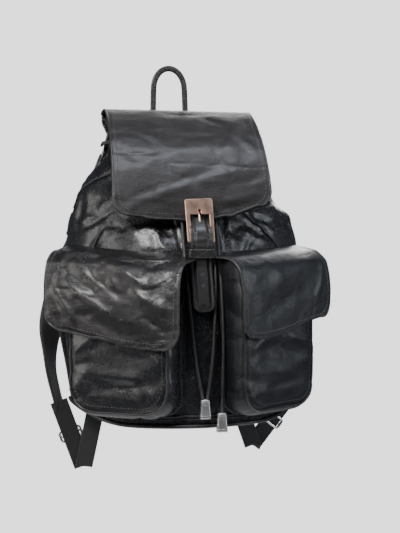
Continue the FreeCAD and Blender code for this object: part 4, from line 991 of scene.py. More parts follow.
def make_flap():
    across, down = 84, 92
    share = np.linspace(-1, 1, across)
    corner = 17.0
    points = np.zeros((across, down, 3))
    for i, s in enumerate(share):
        middle, half = -2.8, 83.2
        x_wide = middle + s * half
        profile = flap_profile(np.interp(x_wide, FLAP_LOW_X, FLAP_LOW_Z))
        length = np.concatenate([[0], np.cumsum(np.linalg.norm(np.diff(profile, axis=0), axis=1))])
        total = length[-1]
        straight = np.linspace(0, total - corner, down - 12, endpoint=False)
        turn = np.linspace(0, math.pi / 2, 12)
        t = np.concatenate([straight, total - corner + corner * np.sin(turn)])
        width = np.concatenate([np.full(down - 12, half), half - corner + corner * np.cos(turn)])
        width = width + 1.5 * smooth(0, total, t) - 1.2 * np.sin(math.pi * t / total)
        points[i, :, 0] = middle + s * width
        points[i, :, 1] = np.interp(t, length, profile[:, 0])
        points[i, :, 2] = np.interp(t, length, profile[:, 1])
    skin = Skin(points, (0, 32, 198))
    x, y, z = (skin.p[..., k] for k in range(3))
    drop = np.linspace(0, 1, down)[None] * np.ones_like(x) * 200
    free = smooth(-38, -60, y)
    amount = 2.2 * np.exp(-((x - 4) / 60) ** 2) * np.sin(np.clip((346 - z) / 124, 0, 1) * math.pi)
    amount += 1.6 * fractal(skin.p, (64, 64, 40), 101) * (0.25 + 0.75 * free)
    for start, end, width, deep in (
            ((-78, 226), (-42, 240), 5.5, 1.8), ((-48, 238), (0, 254), 5.0, 2.2),
            ((-4, 253), (56, 270), 6.0, 1.9), ((-74, 236), (-30, 252), 4.2, -1.6),
            ((-30, 252), (30, 270), 5.0, -1.5), ((-84, 262), (-30, 284), 7.0, 1.6),
            ((-40, 284), (64, 296), 8.0, 1.5), ((20, 232), (74, 244), 4.5, 1.5),
            ((24, 226), (60, 232), 3.2, -1.5), ((-60, 306), (60, 312), 7.0, -1.2),
            ((30, 252), (80, 262), 4.0, -1.4), ((-84, 300), (-50, 270), 5.0, -1.0),
            ((40, 320), (76, 286), 6.0, 1.3), ((-20, 330), (50, 336), 5.0, 0.9)):
        amount += 0.55 * deep * fold(x, z, start, end, width) * free
    amount -= 0.55 * creased(skin.p + 16 * noise(skin.p, 60, 7)[..., None], (70, 60, 24), 0.10, 66) * free
    amount += 0.35 * noise(np.stack([x, drop, x * 0], -1), (14, 9, 9), 15) * free
    amount -= 0.9 * np.exp(-((y + 33) / 3.0) ** 2) * (z > 330)
    skin.push(amount)
    skin.build("flap_leather", FLAP_LEATHER, FLAP_HOLD, FLAP_WALL, slot="leather_flap",
               replaces=["top_flap", "flap_fold_strip"], levels=1)
    return skin


FLAP = make_flap()


def flap_rim(skin, start, inset, lift=0.0, corner=17.0):
    """A line a given distance inside a flap's free edge, from one side round to the other."""
    nu, nv = skin.p.shape[:2]
    widths = np.linalg.norm(skin.p[-1] - skin.p[0], axis=-1)
    picks = []
    body = nv - 12
    for v in range(start, body, 2):
        picks.append((inset / widths[v] * (nu - 1), v))
    rows = [np.linalg.norm(skin.p[nu // 2, k + 1] - skin.p[nu // 2, k]) for k in range(nv - 1)]
    depth = np.concatenate([[0], np.cumsum(rows[::-1])])[::-1]
    level = np.interp(inset, depth[::-1], np.arange(nv)[::-1])
    small = corner - inset * 0.6
    for turn in np.linspace(0.1, math.pi / 2, 9):
        away = inset + small * (1 - math.sin(turn))
        v = np.interp(away, depth[::-1], np.arange(nv)[::-1])
        inward = inset + small * (1 - math.cos(turn))
        full = widths[body - 2]
        now = np.interp(v, np.arange(nv), widths)
        offset = (now - full) / 2 + inward
        picks.append((np.clip(offset / now, 0.004, 0.5) * (nu - 1), v))
    last = picks[-1][0]
    mirrored = [(nu - 1 - u, v) for u, v in picks[::-1]]
    across = [(u, level) for u in np.linspace(last + 2, nu - 3 - last, 24)]
    return skin.line(picks + across + mirrored, sigma=1.2, lift=lift)


def edge_line(skin, start):
    """The flap's own free edge, half a wall in."""
    nu, nv = skin.p.shape[:2]
    chain = [(0, v) for v in range(start, nv)] + [(u, nv - 1) for u in range(1, nu - 1)]
    chain += [(nu - 1, v) for v in range(nv - 1, start - 1, -1)]
    index = np.array(chain)
    points = skin.p[index[:, 0], index[:, 1]] - skin.n[index[:, 0], index[:, 1]] * 1.1
    return resample(blur(points, 1.0), step=2.0)


def trim_flap():
    tube("flap_binding", edge_line(FLAP, 2), 1.45, TRIM_LEATHER, FLAP_HOLD, slot="piping", count=10)
    runs = [flap_rim(FLAP, 22, 5.2)]
    stitches("flap_stitching", runs, "flap", THREAD)
    fold_row = 13
    seam = FLAP.line([(u, fold_row) for u in range(3, 81, 3)], sigma=1)
    stitches("fold_stitching", [seam], "pouch", THREAD)


trim_flap()


# ---------------------------------------------------------------- strap and buckle

STRAP_TILT = math.radians(12)
STRAP_ROOT = np.array((0.0, -125.9, 233.0))


def hung(x, out, down):
    """A point in the strap's own plane as a layout point."""
    x, out, down = (np.asarray(v, float) for v in (x, out, down))
    return np.stack([x + 0 * out, STRAP_ROOT[1] - out * math.cos(STRAP_TILT) - down * math.sin(STRAP_TILT),
                     STRAP_ROOT[2] + out * math.sin(STRAP_TILT) - down * math.cos(STRAP_TILT)], -1)


STRAP_LINE = [(1.9, -3), (1.9, 14), (4.0, 19), (12.6, 33), (14.2, 37), (14.6, 43), (14.2, 48), (11.5, 54),
              (7.6, 61), (5.9, 67), (5.5, 74), (5.4, 90), (5.5, 117.5)]


def make_strap():
    middle = rounded(STRAP_LINE, step=0.5, sigma=5)
    middle = resample(middle, count=96)
    way = unit(np.gradient(middle, axis=0))
    face = np.stack([way[:, 1], -way[:, 0]], 1)
    drop = middle[:, 1]
    half = 11.6 - 0.4 * np.exp(-((drop - 62) / 8) ** 2)
    tip = np.clip((117.5 - drop) / 8.0, 0, 1)
    half = half * np.sqrt(np.clip(1 - (1 - tip) ** 2.6, 0.12, 1))
    share = np.linspace(-1, 1, 25)[:, None]
    x = share * half
    raise_pad = smooth(7.4, 5.2, np.abs(x)) * smooth(115, 109, drop) * smooth(12, 20, drop)
    crown = 1.5 * raise_pad - 0.55 * np.exp(-((np.abs(x) - 8.1) / 0.9) ** 2) * smooth(115, 111, drop)
    crown += 0.35 * noise(np.stack([x, drop + 0 * x, 0 * x], -1), (9, 12, 9), 4)
    for level, deep in ((41, -0.9), (47, -0.7), (56, -0.5), (71, -0.5)):
        crown += deep * np.exp(-((drop - level) / 1.6) ** 2) * (1 - 0.4 * np.abs(share))
    out = middle[:, 0] + face[:, 0] * 1.7 + crown * face[:, 0]
    down = middle[:, 1] + face[:, 1] * 1.7 + crown * face[:, 1]
    x = x + 0.9 * smooth(60, 114, drop)
    skin = Skin(hung(x, out, down), (0, -60, 170))
    strap = skin.build("strap_leather", TRIM_LEATHER, "flap", 3.3, slot="leather_flap",
                       replaces=["buckle_strap"], levels=1)
    low = int(np.argmax(drop > 114.3))
    runs = []
    for k in (2.0, 22.0):
        runs.append(skin.line([(k, v) for v in range(24, low - 6, 2)], sigma=0.8))
    turn = np.linspace(-1, 1, 15)
    runs.append(skin.line([(12 + 10 * t, low - 1.5 - 5 * t * t) for t in turn], sigma=0.5))
    stitches("strap_stitching", runs, "flap", THREAD, pitch=3.1, length=2.3, radius=0.32)
    holes = []
    for level in (78.5, 90.5):
        k = int(np.argmax(drop > level))
        centre, normal = skin.p[12, k], skin.n[12, k]
        across = np.array((1.0, 0, 0))
        upward = np.cross(normal, across)
        turns = np.linspace(0, 2 * math.pi, 20, endpoint=False)
        for radius, thick, sink in ((1.75, 0.42, 0.05), (0.95, 0.8, -0.25)):
            ring = centre + normal * sink + radius * (np.cos(turns)[:, None] * across
                                                      + np.sin(turns)[:, None] * upward)
            holes.append(sweep(ring, np.tile(normal, (20, 1)), circle(thick, 8), closed=True))
    verts, faces = merged(holes)
    piece("strap_holes", verts, faces, LACE_LEATHER, "flap")
    return skin, drop


STRAP, STRAP_DROP = make_strap()


def make_keeper():
    """The leather loop round the strap, sewn with crossed stitches at its middle."""
    level = 55.5
    k = int(np.argmax(STRAP_DROP > level))
    centre = STRAP.p[12, k] - STRAP.n[12, k] * 1.6
    normal = STRAP.n[12, k]
    across = np.array((1.0, 0, 0))
    upward = np.cross(normal, across)
    loop = rounded_box(26.2, 7.6, 2.6, 6)
    path = centre + loop[:, :1] * across + loop[:, 1:] * normal
    profile = rounded_box(9.4, 1.7, 0.7, 4)
    verts, faces = sweep(path, np.tile(upward, (len(path), 1)), profile, closed=True)
    piece("keeper_leather", verts, faces, TRIM_LEATHER, "flap", slot="leather_flap",
          replaces=["strap_keeper"], levels=1)
    face = centre + normal * 4.75
    runs = []
    for start, end in (((-4.5, -2.8), (4.5, 2.8)), ((-4.5, 2.8), (4.5, -2.8)), ((-11, 3.7), (11, 3.7)),
                       ((-11, -3.7), (11, -3.7))):
        line = np.array([face + across * (start[0] * (1 - t) + end[0] * t)
                         + upward * (start[1] * (1 - t) + end[1] * t) for t in np.linspace(0, 1, 12)])
        runs.append((line, np.tile(normal, (12, 1))))
    stitches("keeper_stitching", runs, "flap", THREAD, pitch=2.4, length=1.9, radius=0.3)


make_keeper()


def extruded(name, outline, holes, wall, bevel, place, material, how, **rest):
    """A bevelled plate from a flat outline and its windows; place maps (x, out, down) points."""
    curve = bpy.data.curves.new(name + "_outline", "CURVE")
    curve.dimensions = "2D"
    curve.fill_mode = "BOTH"
    curve.extrude, curve.bevel_depth, curve.bevel_resolution = wall / 2 - bevel, bevel, 3
    for loop in [outline, *holes]:
        spline = curve.splines.new("POLY")
        spline.points.add(len(loop) - 1)
        for point, (a, b) in zip(spline.points, loop):
            point.co = (a, b, 0, 1)
        spline.use_cyclic_u = True
    scratch = bpy.data.objects.new(name + "_scratch", curve)
    bpy.context.scene.collection.objects.link(scratch)
    bpy.context.view_layer.update()
    mesh = bpy.data.meshes.new_from_object(scratch.evaluated_get(bpy.context.evaluated_depsgraph_get()))
    verts = np.array([v.co for v in mesh.vertices])
    faces = [tuple(p.vertices) for p in mesh.polygons]
    bpy.data.objects.remove(scratch)
    bpy.data.meshes.remove(mesh)
    obj = piece(name, place(verts), faces, material, how, weld=True, **rest)
    for polygon in obj.data.polygons:
        polygon.use_smooth = False
    return obj


def rounded_loop(corners, radius, per=5):
    """A closed outline with its corners rounded."""
    corners = [np.array(c, float) for c in corners]
    out = []
    for k, corner in enumerate(corners):
        before, after = corners[k - 1], corners[(k + 1) % len(corners)]
        a, b = unit(before - corner), unit(after - corner)
        size = min(radius, 0.45 * np.linalg.norm(before - corner), 0.45 * np.linalg.norm(after - corner))
        for t in np.linspace(0, 1, per):
            out.append((corner + a * size) * (1 - t) ** 2 + corner * 2 * t * (1 - t)
                        + (corner + b * size) * t ** 2)
    return [tuple(p) for p in out]


def make_buckle():
    outer = rounded_loop([(-14.6, -0.5), (13.6, 0.9), (14.2, -45.2), (-13.2, -45.4)], 1.6)
    window = rounded_loop([(-10.9, -15.6), (-2.1, -15.6), (-2.1, -10.2), (2.1, -10.2),
                           (2.1, -15.4), (10.9, -15.2),
                           (10.7, -41.2), (-9.9, -41.4)], 0.7, 4)
    extruded("buckle_plate", outer, [window], 2.5, 0.55,
             lambda v: hung(v[:, 0],
                            10.6 + v[:, 2] + 0.7 * np.clip(-(v[:, 1] + 8) / 40, -0.1, 0.4), -v[:, 1]),
             COPPER, "flap", slot="copper", replaces=["buckle_frame"])
    path = rounded([(7.1, 12.9), (7.9, 15.2), (9.4, 19), (10.4, 23.2), (10.9, 26.2)], 0.3, 3)
    line = hung(np.zeros(len(path)), path[:, 0], path[:, 1])
    size = 1.05 * np.sqrt(np.clip((len(path) - np.arange(len(path))) / (0.45 * len(path)), 0.12, 1))
    profile = np.array([circle(1.0, 12) * (r, r * 0.8) for r in size])
    prong = sweep(line, np.tile((1.0, 0, 0), (len(line), 1)), profile)
    eye = np.array([hung(0.0, 7.1 + 1.5 * math.cos(t), 12.9 + 1.5 * math.sin(t))
                    for t in np.linspace(0, 2 * math.pi, 18, endpoint=False)])
    ring = sweep(eye, np.tile((1.0, 0, 0), (18, 1)), circle(0.75, 8), closed=True)
    verts, faces = merged([prong, ring])
    piece("prong_metal", verts, faces, COPPER, "prong", slot="copper", replaces=["buckle_prong"])
    tab = rounded([(3.9, -1.8), (8.4, -1.8), (9.0, 2.0), (9.0, 5.4), (7.6, 7.0), (4.2, 7.0)], 0.3, 3)
    across = np.linspace(-10, 10, 15)[:, None]
    skin = Skin(hung(across + 0 * tab[None, :, 0], tab[None, :, 0] + 0 * across,
                     tab[None, :, 1] + 0 * across),
                STRAP_ROOT)
    skin.build("tab_leather", TRIM_LEATHER, "flap", 1.3, slot="leather_flap", replaces=["buckle_tab"])


make_buckle()


# ---------------------------------------------------------------- pockets

FACET = math.radians(35)


def faced(hand, x, deep, z):
    """A pocket's own place (across, out from the bag's middle, height) as a layout point."""
    x, deep, z = (np.asarray(v, float) for v in (x, deep, z))
    turn = hand * FACET
    return np.stack([x * math.cos(turn) + deep * math.sin(turn) + 0 * z,
                     x * math.sin(turn) - deep * math.cos(turn) + 0 * z, z + 0 * x], -1)


def shell_tree():
    nu, nv = SHELL.p.shape[:2]
    return BVHTree.FromPolygons(SHELL.p.reshape(-1, 3).tolist(), grid_faces(nu, nv))


TREE = shell_tree()


def shell_depth(hand, x, z):
    """How far out the pouch's face is behind a pocket's point."""
    start = Vector(faced(hand, x, 240, z))
    way = Vector(faced(hand, x, 0, z)) - start
    hit = TREE.ray_cast(start, way.normalized())
    return 240 - hit[3] if hit[0] is not None else 95.0


POCKETS = {
    # hand, lateral middle and half width, flap and pocket leather, seed of the creases
    "left": dict(hand=-1, middle=8.0, half=58.0, leather=LEFT_LEATHER, body=BODY_LEATHER, seed=300),
    "right": dict(hand=1, middle=-8.0, half=58.0, leather=RIGHT_LEATHER, body=RIGHT_LEATHER, seed=500),
}
POCKET_MOUTH, POCKET_FLOOR = 174.0, 13.5


def make_pocket(name, hand, middle, half, body, seed):
    """A pocket bag: U-shaped rows from the pouch out to the front seam and in to the middle."""
    around, walls, inward = 150, 12, 22
    rows = []
    for k in range(walls + inward):
        if k < walls:
            rows.append((k / (walls - 1), 0.0))
        else:
            rows.append((1.0, (k - walls + 1) / inward))
    points = np.zeros((around, len(rows), 3))
    top, floor = POCKET_MOUTH, POCKET_FLOOR
    for j, (wall, inset) in enumerate(rows):
        wide = half * (1 - inset) - 0.5 * wall
        low = floor + inset * (top - floor - 26) * 0.5 + 1.5 * smooth(0.7, 1, wall)
        corner = max(0.01, (26 - 6 * (1 - wall)) * (1 - inset))
        straight = max(top - low - corner, 0.1)
        arc = corner * math.pi / 2
        half_length = straight + arc + (wide - corner)
        s = np.linspace(0, 2 * half_length, around)
        for i, t in enumerate(s):
            side = -1 if t <= half_length else 1
            r = t if side < 0 else 2 * half_length - t
            if r < straight:
                a, z = wide, top - r
            elif r < straight + arc:
                turn = (r - straight) / max(corner, 1e-6)
                a, z = wide - corner + corner * math.cos(turn), low + corner - corner * math.sin(turn)
            else:
                a, z = wide - corner - (r - straight - arc), low
            points[i, j] = (side * a, wall, z)
    out = np.zeros_like(points)
    for i in range(around):
        for j, (wall, inset) in enumerate(rows):
            a, z = points[i, j, 0], points[i, j, 2]
            x = middle + a
            front = 164 - 7 * smooth(124, 174, z)
            # a shallow pillow: the face swells between its seams
            face = front - 3.6 + 5.0 * (1 - (1 - min(1.0, inset * 2.2)) ** 2)
            if wall < 1:
                root = shell_depth(hand, np.clip(x, middle - half + 2, middle + half - 2), max(z, 16)) - 1.5
                share = wall ** 0.9
                deep = root + (front - 3.6 - root) * share
                bulge = 2.6 * math.sin(math.pi * wall)
                flat = np.array((a, z - 90.0))
                flat = flat / max(np.linalg.norm(flat), 1e-6) * bulge
                out[i, j] = faced(hand, x + flat[0], deep, z + min(flat[1], 0))
            else:
                out[i, j] = faced(hand, x, face, z)
    out = blur(blur(out, 1.3, axis=1), 1.6, axis=0)
    skin = Skin(out, faced(hand, middle, 120, 90))
    a, z = points[..., 0], points[..., 2]
    x = middle + a
    flat = np.stack([x, z, skin.p[..., 1] * 0.5], -1)
    inner = smooth(0, 0.12, np.array([r[1] for r in rows]))[None]
    amount = 2.0 * fractal(flat, (58, 26, 60), seed) * (0.35 + 0.65 * inner)
    amount -= 1.25 * creased(flat + 12 * noise(flat, 44, seed + 1)[..., None], (90, 20, 60), 0.13, seed + 2)
    amount += 1.1 * creased(flat + 12 * noise(flat, 44, seed + 5)[..., None], (100, 26, 60),
                            0.12, seed + 6) * inner
    for start, end, width, deep in (((-44, 86), (44, 70), 4.0, -2.2), ((-50, 60), (30, 52), 5.0, 2.0),
                                    ((-30, 40), (50, 48), 3.6, -1.9), ((-52, 78), (-20, 96), 4.5, 1.8),
                                    ((10, 92), (52, 82), 4.0, 1.6), ((-46, 30), (-10, 26), 3.5, -1.5)):
        amount += deep * fold(a, z, start, end, width) * inner
    amount *= smooth(0, 3, np.minimum(np.arange(around), np.arange(around)[::-1]))[:, None] * 0.8 + 0.2
    skin.push(amount * (1 if name == "left" else 0.75))
    for j in range(1, 5):
        share = 0.5 * (1 - (j - 1) / 4.0)
        skin.p[:, -j] = skin.p[:, -j] * (1 - share) + skin.p[::-1, -j] * share
    skin.update()
    skin.build("pocket_%s_leather" % name, body, "pouch", POUCH_WALL, slot="leather",
               replaces=["pocket_" + name], weld=True)
    seam = walls - 0.5
    line = skin.line([(u, seam) for u in range(0, around, 2)], sigma=0.8, lift=0.3)
    tube("pocket_%s_welt" % name, line[0], 1.55, TRIM_LEATHER, "pouch", slot="piping")
    sewn = skin.line([(u, walls + 1.6) for u in range(0, around, 2)], sigma=0.8)
    foot = skin.line([(u, 1.3) for u in range(2, around - 2, 2)], sigma=0.8)
    foot_welt = skin.line([(u, 0.7) for u in range(1, around - 1, 2)], sigma=0.8, lift=0.4)
    tube("pocket_%s_foot_welt" % name, foot_welt[0], 1.2, TRIM_LEATHER, "pouch", slot="piping")
    stitches("pocket_%s_stitching" % name, [sewn, foot], "pouch", THREAD)


FLAP_SHAPES = {
    # lateral reach towards the middle and outwards, and the lower edge's heights there
    "left": dict(inner=80.0, outer=73.0, low_inner=84.0, low_outer=103.0, high_inner=175.0, high_outer=190.0,
                 reach=170.0),
    "right": dict(inner=74.0, outer=71.0, low_inner=93.0, low_outer=110.0, high_inner=178.0, high_outer=189.0,
                  reach=170.0),
}


def make_pocket_flap(name, hand, middle, leather, seed):
    shape = FLAP_SHAPES[name]
    across, down, corner = 72, 64, 17.0
    low_x, high_x = ((-shape["outer"], shape["inner"]) if hand < 0 else (-shape["inner"], shape["outer"]))
    points = np.zeros((across, down, 3))
    for i, share in enumerate(np.linspace(0, 1, across)):
        x = low_x + share * (high_x - low_x)
        to_inner = share if hand < 0 else 1 - share
        high = shape["high_outer"] + (shape["high_inner"] - shape["high_outer"]) * to_inner
        low = shape["low_outer"] + (shape["low_inner"] - shape["low_outer"]) * smooth(0, 1, to_inner)
        low -= 3.0 * math.sin(math.pi * to_inner)
        root = min(shell_depth(hand, np.clip(x, -64, 64), high) + 1.6, 146.0)
        reach = shape["reach"]
        line = rounded([(root - 3, high + 1.5), (root + 4, high + 0.2),
                        (reach - 18, high - 5), (reach - 5, high - 16),
                        (reach - 1, high - 34), (reach, (high + low) / 2 - 10), (reach - 0.5, low)], 0.5, 8)
        length = np.concatenate([[0], np.cumsum(np.linalg.norm(np.diff(line, axis=0), axis=1))])
        total = length[-1]
        turn = np.linspace(0, math.pi / 2, 12)
        t = np.concatenate([np.linspace(0, total - corner, down - 12, endpoint=False),
                            total - corner + corner * np.sin(turn)])
        squeeze = np.concatenate([np.ones(down - 12),
                                  ((high_x - low_x) / 2 - corner + corner * np.cos(turn))
                                   / ((high_x - low_x) / 2)])
        centre = (low_x + high_x) / 2
        points[i] = faced(hand, centre + (x - centre) * squeeze, np.interp(t, length, line[:, 0]),
                          np.interp(t, length, line[:, 1]))
    skin = Skin(points, faced(hand, middle, 60, 100))
    u = np.linspace(0, 1, across)[:, None] * np.ones((1, down)) * (high_x - low_x)
    v = np.ones((across, 1)) * np.linspace(0, 1, down)[None] * 105
    if hand > 0:
        u = (high_x - low_x) - u
    free = smooth(6, 24, v)
    flat = np.stack([u, v, u * 0], -1)
    centre_swell = np.sin(math.pi * np.clip(v / 105, 0, 1)) * np.sin(
        math.pi * np.clip(u / (high_x - low_x), 0, 1))
    amount = 2.4 * centre_swell + 1.7 * fractal(flat, (60, 36, 50), seed + 30) * free
    if name == "left":
        for start, end, width, deep in (
                ((8, 34), (60, 22), 5.0, 2.6), ((14, 46), (74, 62), 4.5, -2.2),
                ((20, 58), (90, 80), 5.5, 2.6),
                ((60, 24), (120, 52), 5.0, 2.2), ((78, 20), (136, 40), 4.0, -1.9),
                ((30, 80), (110, 96), 4.5, -1.7),
                ((96, 52), (146, 74), 4.5, 1.9), ((6, 62), (40, 92), 4.0, 1.7),
                ((44, 40), (100, 64), 3.5, -1.6),
                ((110, 72), (148, 92), 3.5, -1.5), ((10, 20), (50, 10), 3.5, -1.3)):
            amount += deep * fold(u, v, start, end, width) * free
        crinkle = 0.85
    else:
        for start, end, width, deep in (((20, 40), (110, 50), 9.0, 1.6), ((30, 66), (120, 78), 8.0, -1.2),
                                        ((90, 24), (140, 60), 6.0, 1.4), ((6, 40), (30, 86), 5.0, 1.2)):
            amount += deep * fold(u, v, start, end, width) * free
        crinkle = 0.25
    amount -= crinkle * creased(flat + 12 * noise(flat, 40, seed + 31)[..., None], (44, 20, 40),
                                0.12, seed + 32) * free
    amount += crinkle * 0.6 * noise(flat, (8, 5, 8), seed + 33) * free
    skin.push(amount)
    hinge = ("pouch", "pocket_flap_" + name[0],
             tuple(faced(hand, 0, 132, 191)), tuple(faced(hand, 0, 146, 186)))
    skin.build("pocket_flap_%s_leather" % name, leather, hinge, POCKET_FLAP_WALL, slot="leather_flap",
               replaces=["pocket_flap_" + name], levels=1)
    tube("pocket_flap_%s_binding" % name, edge_line(skin, 3), 1.35,
         TRIM_LEATHER, hinge, slot="piping", count=10)
    stitches("pocket_flap_%s_stitching" % name, [flap_rim(skin, 12, 5.0)], "pocket_flap_" + name[0], THREAD)


for pocket_name, facts in POCKETS.items():
    make_pocket(pocket_name, facts["hand"], facts["middle"], facts["half"], facts["body"], facts["seed"])
    make_pocket_flap(pocket_name, facts["hand"], facts["middle"], facts["leather"], facts["seed"])


# ---------------------------------------------------------------- loop, straps and webbing

def make_loop():
    """The hanging loop: a folded strip on edge, sewn flat behind the top seam."""
    feet, spring, middle, radius = 314.0, 379.0, -6.0, 18.3
    turn = np.linspace(math.pi, 0, 40)
    arc = np.stack([middle + radius * np.cos(turn) * (1 - 0.06 * np.sin(turn)),
                    spring + (radius + 3.6) * np.sin(turn)], 1)
    left = np.array([(middle - radius - 0.6, feet), (middle - radius - 0.9, 345)])
    right = np.array([(middle + radius + 0.9, 345), (middle + radius + 0.6, feet)])
    line = rounded(np.concatenate([left, arc, right]), 1.0, 5)
    path = np.stack([line[:, 0], np.full(len(line), 2.0), line[:, 1]], 1)
    profile = rounded_box(4.0, 6.8, 1.7, 5)
    verts, faces = sweep(path, np.tile((0, 1.0, 0), (len(path), 1)), profile)
    piece("loop_leather", verts, faces, TRIM_LEATHER, "pouch", slot="leather", replaces=["grab_handle"])
    runs = []
    for y in (0.05, 3.95):
        face = path.copy()
        face[:, 1] = y
        runs.append((face, np.tile((0, -1.0 if y < 2 else 1.0, 0), (len(face), 1))))
    stitches("loop_stitching", runs, "pouch", THREAD, pitch=3.4, length=2.5)
    corners = rounded_loop([(-60, 318.4), (60, 318.4), (60, 337.6), (-60, 337.6)], 3.0)
    extruded("anchor_patch_leather", corners, [], 1.6, 0.5,
             lambda v: np.stack([v[:, 0], 4.8 + v[:, 2], v[:, 1]], -1), TRIM_LEATHER, "pouch",
             slot="leather", replaces=["strap_anchor_patch"])
    inner = np.array(rounded_loop([(-57.5, 320.8), (57.5, 320.8), (57.5, 335.2),
                                  (-57.5, 335.2), (-57.5, 320.8)], 2.0))
    face = np.stack([inner[:, 0], np.full(len(inner), 5.62), inner[:, 1]], 1)
    stitches("patch_stitching", [(face, np.tile((0, 1.0, 0), (len(face), 1)))], "pouch", THREAD)


make_loop()

SHOULDER_STATIONS = {
    "left": [(-43, 2, 336, 28), (-45, 2, 314, 28), (-60, 7, 286, 29), (-90, 13, 236, 30), (-118, 17, 184, 30),
             (-137, 18, 136, 30), (-146, 17, 96, 29), (-146, 14, 50, 26), (-139, 13.4, 20, 22),
             (-134, 13.1, 0, 20)],
    "right": [(43, 2, 336, 28), (45, 2, 314, 28), (55, 7, 286, 29), (79, 13, 236, 30), (104, 17, 184, 30),
              (122, 18, 136, 30), (132, 17, 96, 29), (139, 14, 50, 26), (140, 13.4, 24, 22),
              (138, 13.1, 6, 20)],
}


def ribbon(name, path, half, side, wall, material, crown=0.0, **rest):
    """A flat band: rows across a path, its middle line given, with its flat coordinates."""
    count = 13
    path = np.asarray(path, float)
    way = unit(np.gradient(path, axis=0))
    side = unit(side - way * np.sum(side * way, -1, keepdims=True))
    out = np.cross(side, way)
    share = np.linspace(-1, 1, count)
    points = (path[None] + side[None] * (share[:, None, None] * half[None, :, None])
              + out[None] * (wall / 2 + crown * (1 - share[:, None, None] ** 4)))
    along = np.concatenate([[0], np.cumsum(np.linalg.norm(np.diff(path, axis=0), axis=1))])
    flat = np.stack([share[:, None] * half[None], np.ones((count, 1)) * along[None],
                    np.zeros((count, len(path)))], -1)
    skin = Skin(points, path.mean(0) - out.mean(0) * 500)
    obj = skin.build(name, material, "pouch", wall + crown, flat=flat.reshape(-1, 3), **rest)
    return skin, obj


def make_shoulder_straps():
    for name, stations in SHOULDER_STATIONS.items():
        stations = np.array(stations, float)
        line = rounded(stations, 2.0, 5)
        path = line[:, :3]
        way = np.gradient(path, axis=0)
        side = np.stack([way[:, 2], np.zeros(len(way)), -way[:, 0]], 1)
        lean = smooth(120, 36, path[:, 2]) * smooth(-8, 18, path[:, 2])
        side[:, 1] += lean * 2.1 * np.linalg.norm(side, axis=1) * (-1 if name == "left" else 1)
        ripple = 0.9 * noise(path, (40, 40, 46), 7)
        path = path + np.stack([0 * ripple, ripple * smooth(0, 30, 336 - path[:, 2]), 0 * ripple], 1)
        skin, strap = ribbon("shoulder_band_" + name, path, line[:, 3] / 2, side, 3.0, SHOULDER, 0.5,
                             slot="shoulder", replaces=["shoulder_strap_" + name], levels=1)
        runs = [skin.line([(k, v) for v in range(1, skin.p.shape[1] - 1, 2)], sigma=1) for k in (1.0, 11.0)]
        under = Skin(skin.p - skin.n * 3.5, skin.p.mean((0, 1)) + np.array((0, 500.0, 0)))
        under.n = -skin.n
        runs += [under.line([(k, v) for v in range(1, skin.p.shape[1] - 1, 2)], sigma=1) for k in (1.0, 11.0)]
        stitches("shoulder_stitching_" + name, runs, "pouch", THREAD, pitch=3.6, length=2.6, radius=0.3)


make_shoulder_straps()

WEBBING_POINTS = {"left": ((-137, 14), (-109, -64), (-92, 14)), "right": ((143, 14), (93, -47), (72, 14))}
NEAR_Y, FAR_Y = 6.0, 10.2


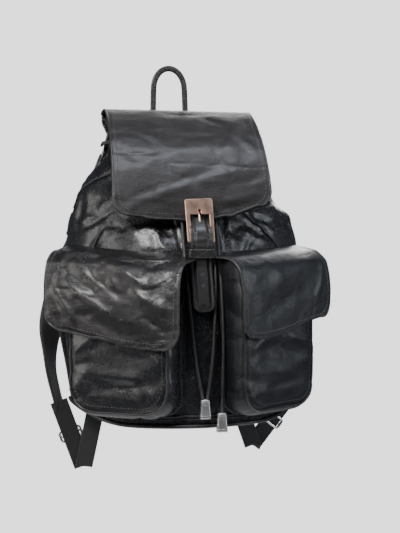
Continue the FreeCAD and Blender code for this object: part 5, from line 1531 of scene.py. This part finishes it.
def make_webbing():
    for name, (top, turn, sewn) in WEBBING_POINTS.items():
        top, turn, sewn = (np.array(p, float) for p in (top, turn, sewn))
        first = np.array([(*(top + (turn - top) * t), FAR_Y) for t in np.linspace(0, 0.985, 40)])
        last = np.array([(*(turn + (sewn - turn) * t), NEAR_Y) for t in np.linspace(0.015, 1, 40)])
        line = np.concatenate([first, [(*turn, (NEAR_Y + FAR_Y) / 2)], last])
        path = np.stack([line[:, 0], line[:, 2], line[:, 1]], 1)
        soft = blur(resample(path, step=0.8), 1.3)
        way_in, way_out = unit(turn - top), unit(sewn - turn)
        share = smooth(-4, 4, np.arange(len(soft)) - np.argmin(soft[:, 2]))[:, None]
        across_in = np.array((way_in[1], 0, -way_in[0]))
        across_out = -np.array((way_out[1], 0, -way_out[0]))
        side = across_in * (1 - share) + across_out * share
        sag = 0.5 * noise(soft, 30, 5)
        soft[:, 1] += sag * smooth(0, 12, np.arange(len(soft))) * 0.5
        ribbon("webbing_band_" + name, soft, np.full(len(soft), 10.0), side, 1.5, WEBBING,
               slot="webbing", replaces=["webbing_" + name])
        x, z = sewn
        corners = rounded_loop([(x - 12, z - 10), (x + 12, z - 10), (x + 12, z + 4), (x - 12, z + 4)], 2.0)
        extruded("anchor_tab_leather_" + name, corners, [], 5.0, 0.8,
                 lambda v: np.stack([v[:, 0], 2.6 + v[:, 2], v[:, 1]], -1), TRIM_LEATHER, "pouch",
                 slot="leather", replaces=["anchor_tab_" + name])
        body = "slider_" + name[0]
        centre = np.array(((top[0] + turn[0]) / 2, FAR_Y, (top[1] + turn[1]) / 2))
        down = np.array((way_in[0], 0, way_in[1]))
        across = np.array((way_in[1], 0, -way_in[0]))
        loop = rounded_box(24.6, 12.6, 3.2, 7)
        ring = centre + loop[:, :1] * across + loop[:, 1:] * down
        parts = [sweep(ring, np.tile((0, 1.0, 0), (len(ring), 1)), circle(1.45, 10), closed=True)]
        bar = np.array([centre + across * t + np.array((0, 1.9, 0)) for t in np.linspace(-11.9, 11.9, 12)])
        parts.append(sweep(bar, np.tile((0, 1.0, 0), (12, 1)), circle(1.2, 10)))
        verts, faces = merged(parts)
        piece("slider_ring_" + name, verts, faces, CHROME, body, slot="chrome", replaces=["slider_" + name])


make_webbing()


# ---------------------------------------------------------------- CAD nodes that show

def finish_nodes():
    finishes = {"base_board": BOARD, "drawstring": LACE_LEATHER, "buckle_pin": COPPER, "prong_pin": COPPER}
    for node in ("closure_stud", "closure_socket", "pocket_socket_left", "pocket_socket_right",
                 "pocket_stud_left", "pocket_stud_right"):
        finishes[node] = NICKEL
    for node, material in finishes.items():
        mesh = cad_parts[node].data
        mesh.materials.clear()
        mesh.materials.append(material)


finish_nodes()
